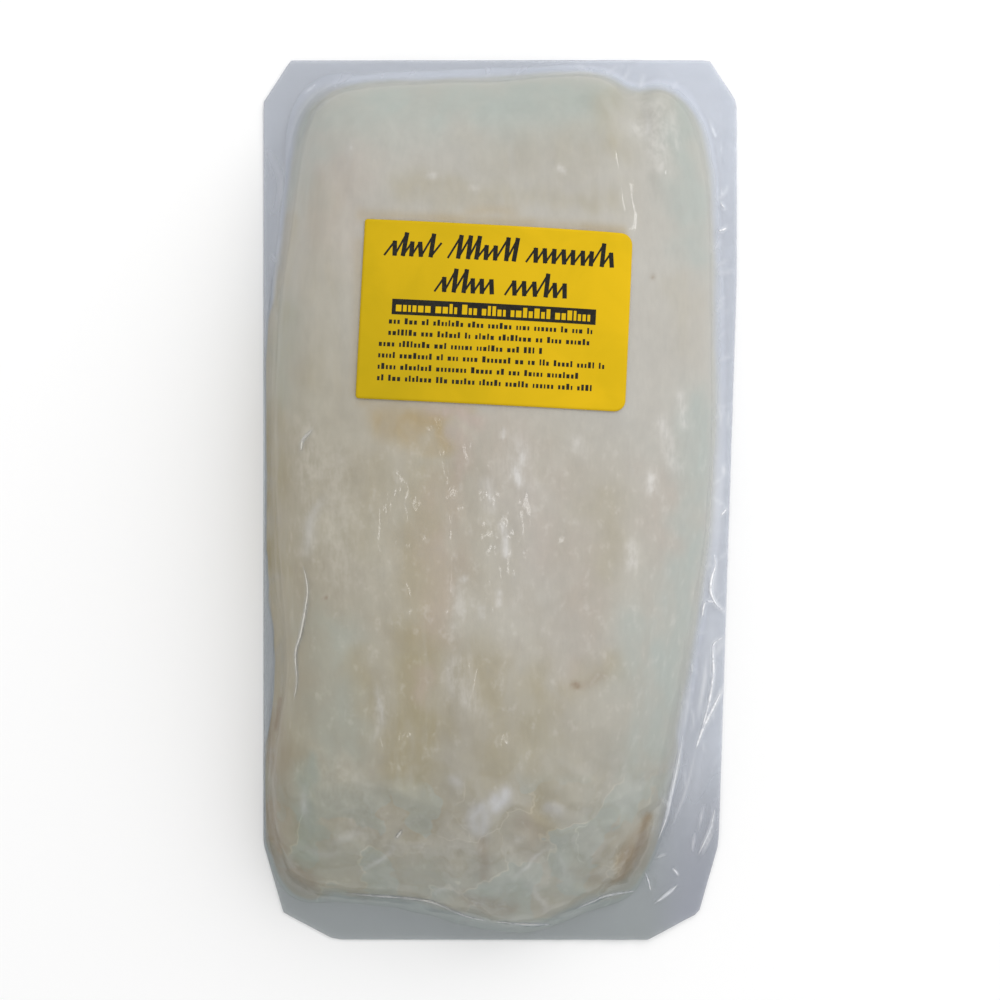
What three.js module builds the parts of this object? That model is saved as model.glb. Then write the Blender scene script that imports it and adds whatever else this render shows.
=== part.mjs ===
// A vacuum-packed cod loin. The loin is sealed in a clear bag that clings to it and ends in a
// flat film margin all round, and a paper label is stuck on top.
// Millimetres, +Z up. The origin is the middle of the underside, +Y runs to the head end of the
// loin and +X to its thin side, so the pack is seen from +Z as it lies on a counter.
import * as THREE from "three";

const { clamp, degToRad, lerp, smoothstep } = THREE.MathUtils;

// Driving dimensions of the bag
const packWidth = 113;
const packLength = 210;
const filmThickness = 0.8;
const skirtHeight = 3; // where the film leaves the loin
const headCorner = { across: 6.5, along: 10 }; // cut straight across
const tailCorner = { across: 17, along: 23 }; // cut in two straight facets
const facetShare = 0.72; // how far out the middle of those two facets stands
const tailNarrowing = 4.3; // of the thin side, from the middle to the tail end

// Driving dimensions of the loin
const crownHeight = 32;
const cornerPower = 9; // of the superellipse that rounds the loin's corners
const shoulderReach = { left: 0.24, right: 0.5, tail: 0.36, head: 0.2 }; // shares of a half size

// The loin's edges in plan, at even stations from tail to head or from left to right
const leftEdge = stations(-54.8, -54.6, -51.5, -53.2, -54, -52.9, -50, -49.6);
const rightEdge = stations(35.5, 40.2, 45, 49.4, 51.2, 51.1, 50.9, 50);
const tailEdge = stations(-93, -93.2, -94, -97.8, -100.6, -95.3, -91);
const headEdge = stations(97.5, 98.6, 99.5, 99.8, 101.2, 100, 97.4);

// The loin's height as a share of the crown, at even stations
const heightAlong = stations(0.74, 0.9, 0.98, 1, 0.98, 0.9, 0.74);
const heightAcross = stations(0.9, 0.98, 1, 0.97, 0.86, 0.66);

// Relief of the loin under the film
// (from and to are shares of the half length, towards the tail where they are negative)
const seam = { x: 31.5, lean: 0.05, width: 4.5, depth: 4, notch: 3.4, from: 0.3, to: 1 };
const midline = { x: -11, lean: 0.06, width: 5, depth: 1.1, from: 0.3, to: -0.1 };
const swell = { height: 0.55, across: 19, along: 31, octaves: 3 };
const gather = { height: 1.5, foot: 0.4, pitch: 11.5, from: -0.56, to: -0.9 };
const gatherSway = { along: 3.5, alongLength: 15, across: 5, acrossLength: 12 }; // keeps them uneven
const flake = { count: 11, height: 1.1, size: { min: 3.8, max: 7.2 }, spread: 0.8, from: -0.42, to: -0.8 };
const flakeSeed = 7;

// Driving dimensions of the label
const labelSize = { width: 60, height: 40 };
const labelCorner = 1.6; // radius
const labelCentre = { x: -0.6, y: 41.5 };
const labelTurn = degToRad(-2);
const labelThickness = 0.3;
const labelGap = 0.35; // to the film under it
const labelCalm = 9; // how far from the label its stiffness still flattens the loin's relief

// Fineness of the meshes
const loinCells = { across: 40, along: 76 };
const marginCells = 3;
const labelCells = { across: 18, along: 12 };
const edgeCrowding = 0.22; // draws the loin's rows closer together towards its edges
const planRounds = 8; // of the search for a point's shares across and along the loin

// A smooth curve through values at even stations, read from -1 to 1.
function stations(...values) {
  const curve = new THREE.SplineCurve(values.map((value, i) => new THREE.Vector2(i, value)));
  return (t) => curve.getPoint(clamp((t + 1) / 2, 0, 1)).y;
}

const bell = (distance, width) => Math.exp(-((distance / width) ** 2));
const between = (low, high, share) => low + ((high - low) * (share + 1)) / 2;
const shareOf = (value, low, high) => (2 * value - low - high) / (high - low);

// The film's outline, anticlockwise from the tail end of the thick side.
function filmOutline() {
  const right = packWidth / 2;
  const head = packLength / 2;
  const thin = right - tailNarrowing;
  const facet = {
    across: tailCorner.across * (1 - facetShare),
    along: tailCorner.along * (1 - facetShare),
  };
  return [
    [-right + tailCorner.across, -head],
    [thin - tailCorner.across, -head],
    [thin - facet.across, -head + facet.along],
    [thin, -head + tailCorner.along],
    [right, head / 2],
    [right, head - headCorner.along],
    [right - headCorner.across, head],
    [-right + headCorner.across, head],
    [-right, head - headCorner.along],
    [-right, -head + tailCorner.along],
    [-right + facet.across, -head + facet.along],
  ].map(([x, y]) => new THREE.Vector2(x, y));
}

// The point where a line from the middle of the pack through a point meets the outline.
function rimPoint(through, outline) {
  for (let i = 0; i < outline.length; i++) {
    const start = outline[i];
    const side = outline[(i + 1) % outline.length].clone().sub(start);
    const turn = through.cross(side);
    const reach = start.cross(side) / turn;
    const along = start.cross(through) / turn;
    if (turn > 0 && reach > 0 && along >= 0 && along <= 1) return through.clone().multiplyScalar(reach);
  }
  throw new Error("the film's outline has a gap");
}

// How deep the seam between the loin's two lobes is at a point, as a share of its full depth.
function seamShare(x, along) {
  const middle = seam.x + (seam.lean * (1 - along) * packLength) / 2;
  return bell(x - middle, seam.width) * smoothstep(along, seam.from, seam.to);
}

// The loin's head end, notched where the seam meets it.
function notchedHead(across, x) {
  return headEdge(across) - seam.notch * bell(x - seam.x, seam.width);
}

// A point of the loin's plan from its shares across and along, each from -1 to 1.
function planPoint(across, along) {
  const x = between(leftEdge(along), rightEdge(along), across);
  return new THREE.Vector2(x, between(tailEdge(across), notchedHead(across, x), along));
}

// The shares across and along the loin at a point of its plan.
function sharesAt(x, y) {
  let across = 0;
  let along = 0;
  for (let round = 0; round < planRounds; round++) {
    across = shareOf(x, leftEdge(along), rightEdge(along));
    along = shareOf(y, tailEdge(across), notchedHead(across, x));
  }
  return { across, along };
}

// How far up its rounded shoulder the loin is, from 0 at its edge to 1 on its back.
function shoulder(across, along) {
  const acrossPart = Math.abs(across) ** cornerPower;
  const alongPart = Math.abs(along) ** cornerPower;
  const sum = acrossPart + alongPart;
  if (sum === 0) return 1;
  const inside = Math.max(0, 1 - sum ** (1 / cornerPower));
  const sideReach = across < 0 ? shoulderReach.left : shoulderReach.right;
  const endReach = along < 0 ? shoulderReach.tail : shoulderReach.head;
  const reach = (acrossPart * sideReach + alongPart * endReach) / sum;
  const climb = Math.min(inside / reach, 1);
  return Math.sqrt(1 - (1 - climb) ** 2);
}

// A repeatable stream of numbers from 0 to 1.
function seededDraws(seed) {
  let state = seed;
  return () => {
    state = (state * 16807) % 2147483647;
    return state / 2147483647;
  };
}

// The flakes of meat that stand out near the tail end.
function flakeSpots() {
  const draw = seededDraws(flakeSeed);
  return Array.from({ length: flake.count }, (_, i) => {
    const across = flake.spread * ((2 * (i + draw())) / flake.count - 1);
    const along = lerp(flake.from, flake.to, draw());
    return { at: planPoint(across, along), size: lerp(flake.size.min, flake.size.max, draw()) };
  });
}
const flakes = flakeSpots();

// 0 under the label, where the film lies flat, rising to 1 away from it.
function labelFreedom(x, y) {
  const local = new THREE.Vector2(x, y).sub(labelCentre).rotateAround(new THREE.Vector2(), -labelTurn);
  const beside = Math.abs(local.x) - labelSize.width / 2;
  const beyond = Math.abs(local.y) - labelSize.height / 2;
  return smoothstep(Math.max(beside, beyond), 0, labelCalm);
}

// The loin's low relief at a point: its midline, slow swells, flakes and the film's gathers.
function relief(x, y, along) {
  const crease = bell(x - midline.x - midline.lean * y, midline.width);
  let height = -midline.depth * crease * smoothstep(-along, -midline.from, -midline.to);
  for (let octave = 1; octave <= swell.octaves; octave++) {
    const acrossWave = Math.sin((octave * x) / swell.across + octave ** 2);
    const alongWave = Math.cos((octave * y) / swell.along + octave);
    height += (swell.height * acrossWave * alongWave) / octave;
  }
  for (const { at, size } of flakes) height += flake.height * bell(at.distanceTo({ x, y }), size);
  const { along: alongSway, alongLength, across: acrossSway, acrossLength } = gatherSway;
  const swayed = x + alongSway * Math.sin(y / alongLength) + acrossSway * Math.sin(x / acrossLength);
  const ridge = 1 - Math.abs(Math.sin((Math.PI * swayed) / gather.pitch));
  height += gather.height * (ridge - gather.foot) * smoothstep(-along, -gather.from, -gather.to);
  return height * labelFreedom(x, y);
}

// The height of the film over the loin at its shares across and along.
function filmHeight(across, along, x, y) {
  const rise = shoulder(across, along);
  const crown = crownHeight * heightAlong(along) * heightAcross(across);
  const body = crown - seam.depth * seamShare(x, along) + relief(x, y, along);
  return skirtHeight + (body - skirtHeight) * rise;
}

// Rows of a grid, drawn closer together towards both ends.
function gridShare(i, cells) {
  const even = (2 * i) / cells - 1;
  return even * (1 + edgeCrowding) - edgeCrowding * even ** 3;
}

// The triangles of a grid of points that starts at a given index, seen from +Z. Each cell is
// split along the diagonal that points to the middle of the grid.
function gridFaces(cells, first) {
  const faces = [];
  const row = cells.across + 1;
  for (let j = 0; j < cells.along; j++) {
    for (let i = 0; i < cells.across; i++) {
      const near = first + j * row + i;
      const far = near + row;
      const rising = i < cells.across / 2 === j < cells.along / 2;
      if (rising) faces.push(near, near + 1, far + 1, near, far + 1, far);
      else faces.push(near, near + 1, far, near + 1, far + 1, far);
    }
  }
  return faces;
}

// The indices round the edge of such a grid, anticlockwise from +Z.
function gridRim(cells, first) {
  const row = cells.across + 1;
  const last = first + cells.along * row;
  const tail = Array.from({ length: cells.across }, (_, i) => first + i);
  const right = Array.from({ length: cells.along }, (_, j) => first + cells.across + j * row);
  const head = Array.from({ length: cells.across }, (_, i) => last + cells.across - i);
  const left = Array.from({ length: cells.along }, (_, j) => last - j * row);
  return [...tail, ...right, ...head, ...left];
}

// The triangles of a band between two loops of indices, facing outwards from inner to outer.
function bandFaces(inner, outer) {
  return inner.flatMap((index, n) => {
    const next = (n + 1) % inner.length;
    return [index, outer[n], outer[next], index, outer[next], inner[next]];
  });
}

function solidMesh(name, points, faces, material) {
  const geometry = new THREE.BufferGeometry().setFromPoints(points).setIndex(faces);
  geometry.computeVertexNormals();
  const mesh = new THREE.Mesh(geometry, material);
  mesh.name = name;
  return mesh;
}

// The sealed bag with the loin in it: the film over the loin, the margin and the flat underside.
function vacuumBag() {
  const points = [];
  for (let j = 0; j <= loinCells.along; j++) {
    for (let i = 0; i <= loinCells.across; i++) {
      const a = gridShare(i, loinCells.across);
      const b = gridShare(j, loinCells.along);
      const square = Math.max(Math.abs(a), Math.abs(b));
      const round = (Math.abs(a) ** cornerPower + Math.abs(b) ** cornerPower) ** (1 / cornerPower);
      const pull = round > 0 ? square / round : 1;
      const plan = planPoint(a * pull, b * pull);
      points.push(new THREE.Vector3(plan.x, plan.y, filmHeight(a * pull, b * pull, plan.x, plan.y)));
    }
  }
  const faces = gridFaces(loinCells, 0);

  const outline = filmOutline();
  const loinRim = gridRim(loinCells, 0);
  const addLoop = (place) => {
    const start = points.length;
    for (const index of loinRim) points.push(place(points[index]));
    return loinRim.map((_, n) => start + n);
  };
  let inner = loinRim;
  for (let ring = 1; ring <= marginCells; ring++) {
    const out = ring / marginCells;
    const outer = addLoop((edge) => {
      const loin = new THREE.Vector2(edge.x, edge.y);
      const flat = loin.clone().lerp(rimPoint(loin, outline), out);
      const height = filmThickness + (edge.z - filmThickness) * (1 - out) ** 2;
      return new THREE.Vector3(flat.x, flat.y, height);
    });
    faces.push(...bandFaces(inner, outer));
    inner = outer;
  }

  const underside = addLoop((edge) => {
    const rim = rimPoint(new THREE.Vector2(edge.x, edge.y), outline);
    return new THREE.Vector3(rim.x, rim.y, 0);
  });
  faces.push(...bandFaces(inner, underside));
  const middle = points.push(new THREE.Vector3()) - 1;
  underside.forEach((index, n) => faces.push(middle, underside[(n + 1) % underside.length], index));

  const film = new THREE.MeshStandardMaterial({ color: 0xc9c3b4, roughness: 0.25, metalness: 0 });
  return solidMesh("vacuum_bag", points, faces, film);
}

// The paper label, which follows the film under it.
function label() {
  const cornerCut = labelCorner * (1 - Math.SQRT1_2);
  const pointAt = (i, j, lift) => {
    const local = new THREE.Vector2((2 * i) / labelCells.across - 1, (2 * j) / labelCells.along - 1);
    const cut = Math.abs(local.x) === 1 && Math.abs(local.y) === 1 ? cornerCut : 0;
    local.multiply({ x: labelSize.width / 2 - cut, y: labelSize.height / 2 - cut });
    const place = local.rotateAround(new THREE.Vector2(), labelTurn).add(labelCentre);
    const { across, along } = sharesAt(place.x, place.y);
    return new THREE.Vector3(place.x, place.y, filmHeight(across, along, place.x, place.y) + lift);
  };
  const points = [];
  for (const lift of [labelGap + labelThickness, labelGap]) {
    for (let j = 0; j <= labelCells.along; j++) {
      for (let i = 0; i <= labelCells.across; i++) points.push(pointAt(i, j, lift));
    }
  }
  const half = points.length / 2;
  const underside = gridFaces(labelCells, half).reverse();
  const edge = bandFaces(gridRim(labelCells, 0), gridRim(labelCells, half));
  const paper = new THREE.MeshStandardMaterial({ color: 0xe0b822, roughness: 0.45, metalness: 0 });
  return solidMesh("label", points, [...gridFaces(labelCells, 0), ...underside, ...edge], paper);
}

const pack = new THREE.Group();
pack.add(vacuumBag(), label());

export default pack;
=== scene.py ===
"""The looks of a vacuum-packed cod loin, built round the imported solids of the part.

The loin and the clear film replace the solid bag, and a printed paper label replaces the solid
label. Lengths in the fields and tables below are millimetres; Blender's objects are in metres.
"""

import functools
import math

import bpy
import numpy as np
from bpy.props import FloatProperty, FloatVectorProperty, IntProperty, PointerProperty
from bpy.types import Operator, Panel, PropertyGroup
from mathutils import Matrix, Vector
from mathutils.bvhtree import BVHTree


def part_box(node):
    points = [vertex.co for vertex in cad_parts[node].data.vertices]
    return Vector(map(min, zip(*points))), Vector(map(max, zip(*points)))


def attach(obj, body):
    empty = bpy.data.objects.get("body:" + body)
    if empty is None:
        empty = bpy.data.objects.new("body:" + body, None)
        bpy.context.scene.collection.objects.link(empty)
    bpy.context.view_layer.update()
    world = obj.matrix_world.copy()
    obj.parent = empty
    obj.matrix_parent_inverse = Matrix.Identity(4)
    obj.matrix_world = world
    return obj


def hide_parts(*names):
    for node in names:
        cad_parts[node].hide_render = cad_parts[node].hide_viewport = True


bl_info = {
    "name": "Vacuum-packed cod loin",
    "version": (1, 0, 0),
    "blender": (4, 5, 0),
    "location": "View3D > Sidebar > Cod loin",
    "description": "Builds a cod loin in its clear vacuum bag, with a paper label",
    "category": "Object",
}

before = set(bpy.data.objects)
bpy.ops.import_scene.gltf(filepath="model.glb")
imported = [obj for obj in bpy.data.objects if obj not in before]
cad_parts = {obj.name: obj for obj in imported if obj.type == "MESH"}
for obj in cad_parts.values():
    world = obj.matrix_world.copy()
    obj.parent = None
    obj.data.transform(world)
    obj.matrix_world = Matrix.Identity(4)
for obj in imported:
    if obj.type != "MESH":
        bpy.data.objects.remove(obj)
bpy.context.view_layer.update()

MM = 0.001
TINY = 1e-9  # keeps divisions away from zero
BAG = "vacuum_bag"
LABEL = "label"
BODY = "root"

# Levels of the solid bag
SKIRT = 3.0  # where the film leaves the loin
MARGIN = 0.8  # top of the flat film margin
MARGIN_DROP = 0.5  # how far the thin film lies below the solid margin
BAG_LOW, BAG_HIGH = (np.array(corner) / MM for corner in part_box(BAG))
LABEL_MIDDLE = np.mean(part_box(LABEL), axis=0) / MM + (-0.5, 0.1, 0)

# The raster that the bag's form is read on
RASTER = 0.5
RASTER_PAST = 2  # how far it runs past the bag
RAY_START = 0.1  # the height in metres from which rays look down
FACET_BLUR = 1.0
FOOT_BLUR = 1.2  # how soft the step from the loin to the margin is
BRIDGE = 2.2  # how far the tight film reaches over hollows
EDGE_HOLD = (0.5, 4)  # from the film's edge to where it bridges hollows fully
LABEL_HOLD = (-0.5, 5)  # from the label's edge to where the film is free of it
RING_SLACK = 0.01
RING_LEAST = 20  # an outline's points are all further out than this

# Meshes
FILM_COLUMNS, FILM_ROWS = 248, 384
LOIN_COLUMNS, LOIN_ROWS = 190, 330
FILM_SECTIONS, LOIN_SECTIONS = (500, 900), (400, 700)  # points read on sections across and along
FILM_RINGS = ((1, 0.1), (0.995, 0.02), (0.7, 0.02))  # what closes a sheet below: scales and heights
LOIN_RINGS = ((1, 0.04), (0.6, 0.04))
LOIN_LEAST = 0.06  # the lowest that the loin's upper face comes
LABEL_COLUMNS, LABEL_ROWS = 100, 68
OUTLINE_HOLD = 4  # how strongly an outline's shape fades towards the middle of its sheet

# Smooth noises of the raster: seed, grain across and along in millimetres, and share
LUMPS = ((11, 4.2, 6.5, 1.0), (12, 1.6, 3.4, 0.5), (13, 0.9, 1.8, 0.3))
PLATES = ((14, 3.2, 2.6, 2.0), (15, 1.7, 1.4, 1.0))
PLATE_TOP = 1.6
PLEATS = ((41, 1.6, 6.5, 0.4), (42, 5.5, 1.5, 0.24))
WANDER = ((31, 2, 2, 1.3), (32, 2, 2, 1.3))  # how far marks wander across and along the pack
FOOT_PATCHES = (45, 2, 5, 0.6)

# How strongly a look shows over the pack: its full strength, then steps. A step has an axis and the
# places on it, in millimetres, where there is none of the look and where there is all of it.
ZONES = {
    "flaky tail": (1.8, ("y", -52, -80)),
    "tail folds": (0.7, ("y", -60, -74)),
    "pleats": (1.0, ("x", -60, 50)),
    "left flap": (1.0, ("x", -38, -48), ("y", 65, 40), ("y", -92, -82)),
    "left tail corner": (1.0, ("x", -36, -44), ("y", -48, -62)),
    "right tail corner": (1.0, ("x", 20, 28), ("y", -50, -62)),
    "left head corner": (1.0, ("x", -28, -42), ("y", 72, 86)),
    # Painted shade: the film's haze darkens towards the tail end, and sets in lower on the right
    "shade": (1.0, ("y", -48, -82)),
    "shade drop": (12.0, ("x", 36, 46)),  # millimetres by which the shade sets in lower
    # Painted shade: darker grey-green haze at the tail end and on the left side
    "tail juice": (1.0, ("y", -60, -92), ("x", 46, 34)),
    "left juice": (0.65, ("x", -38, -50), ("y", 75, 0)),
    "cool rim": (1.0, ("x", -44, -34)),
    # Painted shade: the flesh is darkened towards its head and tail ends
    "dim head": (0.4, ("y", 55, 98)),
    "dim head edge": (0.3, ("y", 84, 98)),
    "dim tail": (0.95, ("y", -20, -92)),
    # Painted shade, with a yellower tint, on the left side of the flesh
    "aged side": (1.0, ("x", -8, -46), ("y", 85, 15)),
    # Painted light: lighter flesh at the head end and on the right side, where the light falls
    "fresh head": (1.0, ("y", -5, 45)),
    "fresh side": (0.8, ("x", 5, 42)),
    "tail": (1.0, ("y", -45, -72)),
    # White flecks on the flesh, partly painted glints of the film
    "flecks": (0.22, ("y", 30, 0)),
    # Painted light: the haze on the loin's rim is lighter towards the tail end
    "tail glow": (0.45, ("y", -70, -88)),
    "calm tail": (0.4, ("y", -68, -76), ("x", 40, 34)),
    # Painted light: lighter, denser haze along the right foot, and lighter haze on the right side and the
    # head end
    "right foot": (0.4, ("x", 30, 44), ("y", -62, -42), ("y", 45, 5)),
    "side glow": (0.22, ("x", 42, 50), ("y", -72, -56)),
    "head glow": (0.35, ("x", 5, 45), ("y", 40, 85)),
}


def colour_field(name, description, default):
    """A colour that a user may change."""
    return FloatVectorProperty(name=name, description=description, subtype="COLOR", size=3, min=0, max=1,
                               default=default)


def length_field(name, description, millimetres, least=0):
    """A length that a user may change, given in millimetres."""
    return FloatProperty(name=name, description=description, subtype="DISTANCE", min=least * MM,
                         default=millimetres * MM)


def power_field(name, description, watts):
    """A light's power that a user may change."""
    return FloatProperty(name=name, description=description, subtype="POWER", min=0, default=watts)


class LoinSettings(PropertyGroup):
    """Sizes and colours of the loin"""

    flesh: colour_field("Flesh", "Flesh on the loin's back", (0.515, 0.45, 0.34))
    pale: colour_field("Pale flesh", "Paler mottling of the flesh", (0.575, 0.52, 0.41))
    cool: colour_field("Edges", "Grey-green flesh along the edges", (0.49, 0.525, 0.465))
    warm: colour_field("Warm streaks", "Olive and yellow streaks of fat", (0.41, 0.325, 0.145))
    fat: colour_field("Fat", "Orange fat by the label", (0.46, 0.30, 0.07))
    rosy: colour_field("Rosy streaks", "Pinkish streaks along the back", (0.57, 0.44, 0.35))
    # White flakes of the flesh, and painted glints of the film in some small marks
    flakes_and_glints: colour_field("Flakes", "White flakes and spots", (0.86, 0.81, 0.74))
    # Pearly flakes at the tail end, and a broad painted sheen down the middle
    pearl_and_sheen: colour_field("Pearly flakes", "Smooth pearly flakes and sheen", (0.8, 0.775, 0.79))
    stain: colour_field("Stains", "Brown edges and spots", (0.26, 0.14, 0.05))
    # Painted shade: darkens the flesh towards its head and tail ends
    dim: colour_field("Ends", "What dims the flesh towards its ends", (0.76, 0.77, 0.735))
    # Darkens and yellows the left side of the flesh: partly painted shade, partly a yellower flesh colour
    left_shade_and_tint: colour_field("Left side", "What dims the flesh on its left side", (0.85, 0.83, 0.75))
    # Painted light: a lighter flesh colour for the head end and the right side, where the light falls
    painted_light: colour_field("Painted light on flesh", "Flesh of the head end and the right side", (0.605, 0.57, 0.505))
    gap: length_field("Gap", "From the loin to the film over it", 0.3)
    spread: length_field("Spread", "How far the loin's thin rim runs out past its walls", 3)
    fade: length_field("Fade", "How wide the rim is where the flesh fades into the haze", 7.5)
    lumps: length_field("Lumps", "Height of the muscle's lumps", 0.22)


class FilmSettings(PropertyGroup):
    """Sizes and colours of the film"""

    tint: colour_field("Tint", "Colour of the light that passes the film", (0.91, 0.925, 0.95))
    haze: colour_field("Haze", "Colour of the film's own haze", (0.54, 0.565, 0.62))
    over: colour_field("Haze on the loin", "Colour of the haze over the loin", (0.55, 0.55, 0.53))
    # Painted shade: a darker haze towards the tail end
    deep: colour_field("Deep haze", "Haze towards the tail end", (0.305, 0.32, 0.375))
    # Painted shade: a darker grey-green haze at the tail end and on the left side
    grey_green_shade: colour_field("Grey-green shade", "Darker grey-green haze at the tail end and on the left side", (0.27, 0.30, 0.285))
    # Painted highlights: the white and cream of the creases stand for their bright highlights
    white: colour_field("Crease white", "Haze along a sharp crease", (0.95, 0.95, 0.97))
    cream: colour_field("Crease cream", "A sharp crease over the loin", (0.86, 0.82, 0.72))
    crease: length_field("Creases", "Height of the film's creases", 0.5)
    pleat: length_field("Pleats", "Height of the shallow pleats of the margin", 0.5)


class LabelSettings(PropertyGroup):
    """Sizes and colours of the label"""

    width: length_field("Width", "Width of the label", 60.7)
    height: length_field("Height", "Height of the label", 40.6)
    turn: FloatProperty(name="Turn", description="How far the label is turned on the pack",
                        subtype="ANGLE", default=math.radians(-2.8))
    left_corner: length_field("Left corners", "Radius of the label's left corners", 0.6)
    right_corner: length_field("Right corners", "Radius of the label's right corners", 2.6)
    thickness: length_field("Thickness", "Thickness of the paper", 0.1)
    paper: colour_field("Paper", "Yellow of the paper", (0.69, 0.44, 0.006))
    # Painted shade: the paper darkens towards its left edge and its foot
    dim: colour_field("Left edge", "What dims the paper towards its left edge", (0.78, 0.83, 0.8))
    ink: colour_field("Ink", "Black of the print", (0.012, 0.011, 0.008))
    seed: IntProperty(name="Seed", description="Draws the strokes and blocks of the print", default=5)


class StageSettings(PropertyGroup):
    """Floor, light and camera"""

    floor: colour_field("Floor", "Colour of the floor", (0.96, 0.96, 0.96))
    sky: FloatProperty(name="Sky", description="Strength of the even light", min=0, default=0.84)
    key: power_field("Key", "Power of the key light", 5.5)
    glint: power_field("Glints", "Power of each small light that sparkles on the film", 0.055)
    eye: length_field("Camera height", "From the floor to the camera", 500, least=100)
    view: length_field("View width", "Width of the picture at the floor", 239.06, least=10)


class PackSettings(PropertyGroup):
    """Everything that a user would change"""

    loin: PointerProperty(type=LoinSettings)
    film: PointerProperty(type=FilmSettings)
    label: PointerProperty(type=LabelSettings)
    stage: PointerProperty(type=StageSettings)


def smooth_step(value, low, high):
    """0 below low, 1 above high, and a smooth ramp between them; low may be above high."""
    share = np.clip((value - low) / (high - low), 0, 1)
    return share * share * (3 - 2 * share)


def zone(name, x, y):
    """How strongly one of the looks in ZONES shows at points on the pack."""
    strength, *steps = ZONES[name]
    for axis, none, full in steps:
        strength = strength * smooth_step(x if axis == "x" else y, none, full)
    return strength


def node_points(node):
    """A solid's points in millimetres."""
    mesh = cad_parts[node].data
    points = np.empty(len(mesh.vertices) * 3)
    mesh.vertices.foreach_get("co", points)
    return points.reshape(-1, 3) / MM


def node_tree(node):
    """A search tree of a solid's faces."""
    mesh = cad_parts[node].data
    return BVHTree.FromPolygons([v.co for v in mesh.vertices], [p.vertices for p in mesh.polygons])


def ring(level):
    """The outline of the solid bag at one of its levels, as a function from angle to radius."""
    points = node_points(BAG)
    radius = np.hypot(points[:, 0], points[:, 1])
    on_ring = (abs(points[:, 2] - level) < RING_SLACK) & (radius > RING_LEAST)
    angle = np.arctan2(points[on_ring, 1], points[on_ring, 0])
    order = np.argsort(angle)
    angles, radii = angle[order], radius[on_ring][order]
    return lambda theta: np.interp(theta, angles, radii, period=2 * math.pi)


def soften(field, across, along):
    """A raster field blurred by Gaussian spreads in millimetres."""
    for axis, spread in ((1, across), (0, along)):
        reach = max(1, round(3 * spread / RASTER))
        steps = np.arange(-reach, reach + 1)
        weights = np.exp(-0.5 * (steps * RASTER / spread) ** 2)
        padding = [(reach, reach) if a == axis else (0, 0) for a in (0, 1)]
        padded = np.pad(field, padding, mode="edge")
        here = np.arange(field.shape[axis]) + reach
        shifted = (weight * np.take(padded, here + step, axis) for weight, step in zip(weights, steps))
        field = sum(shifted) / weights.sum()
    return field


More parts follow.
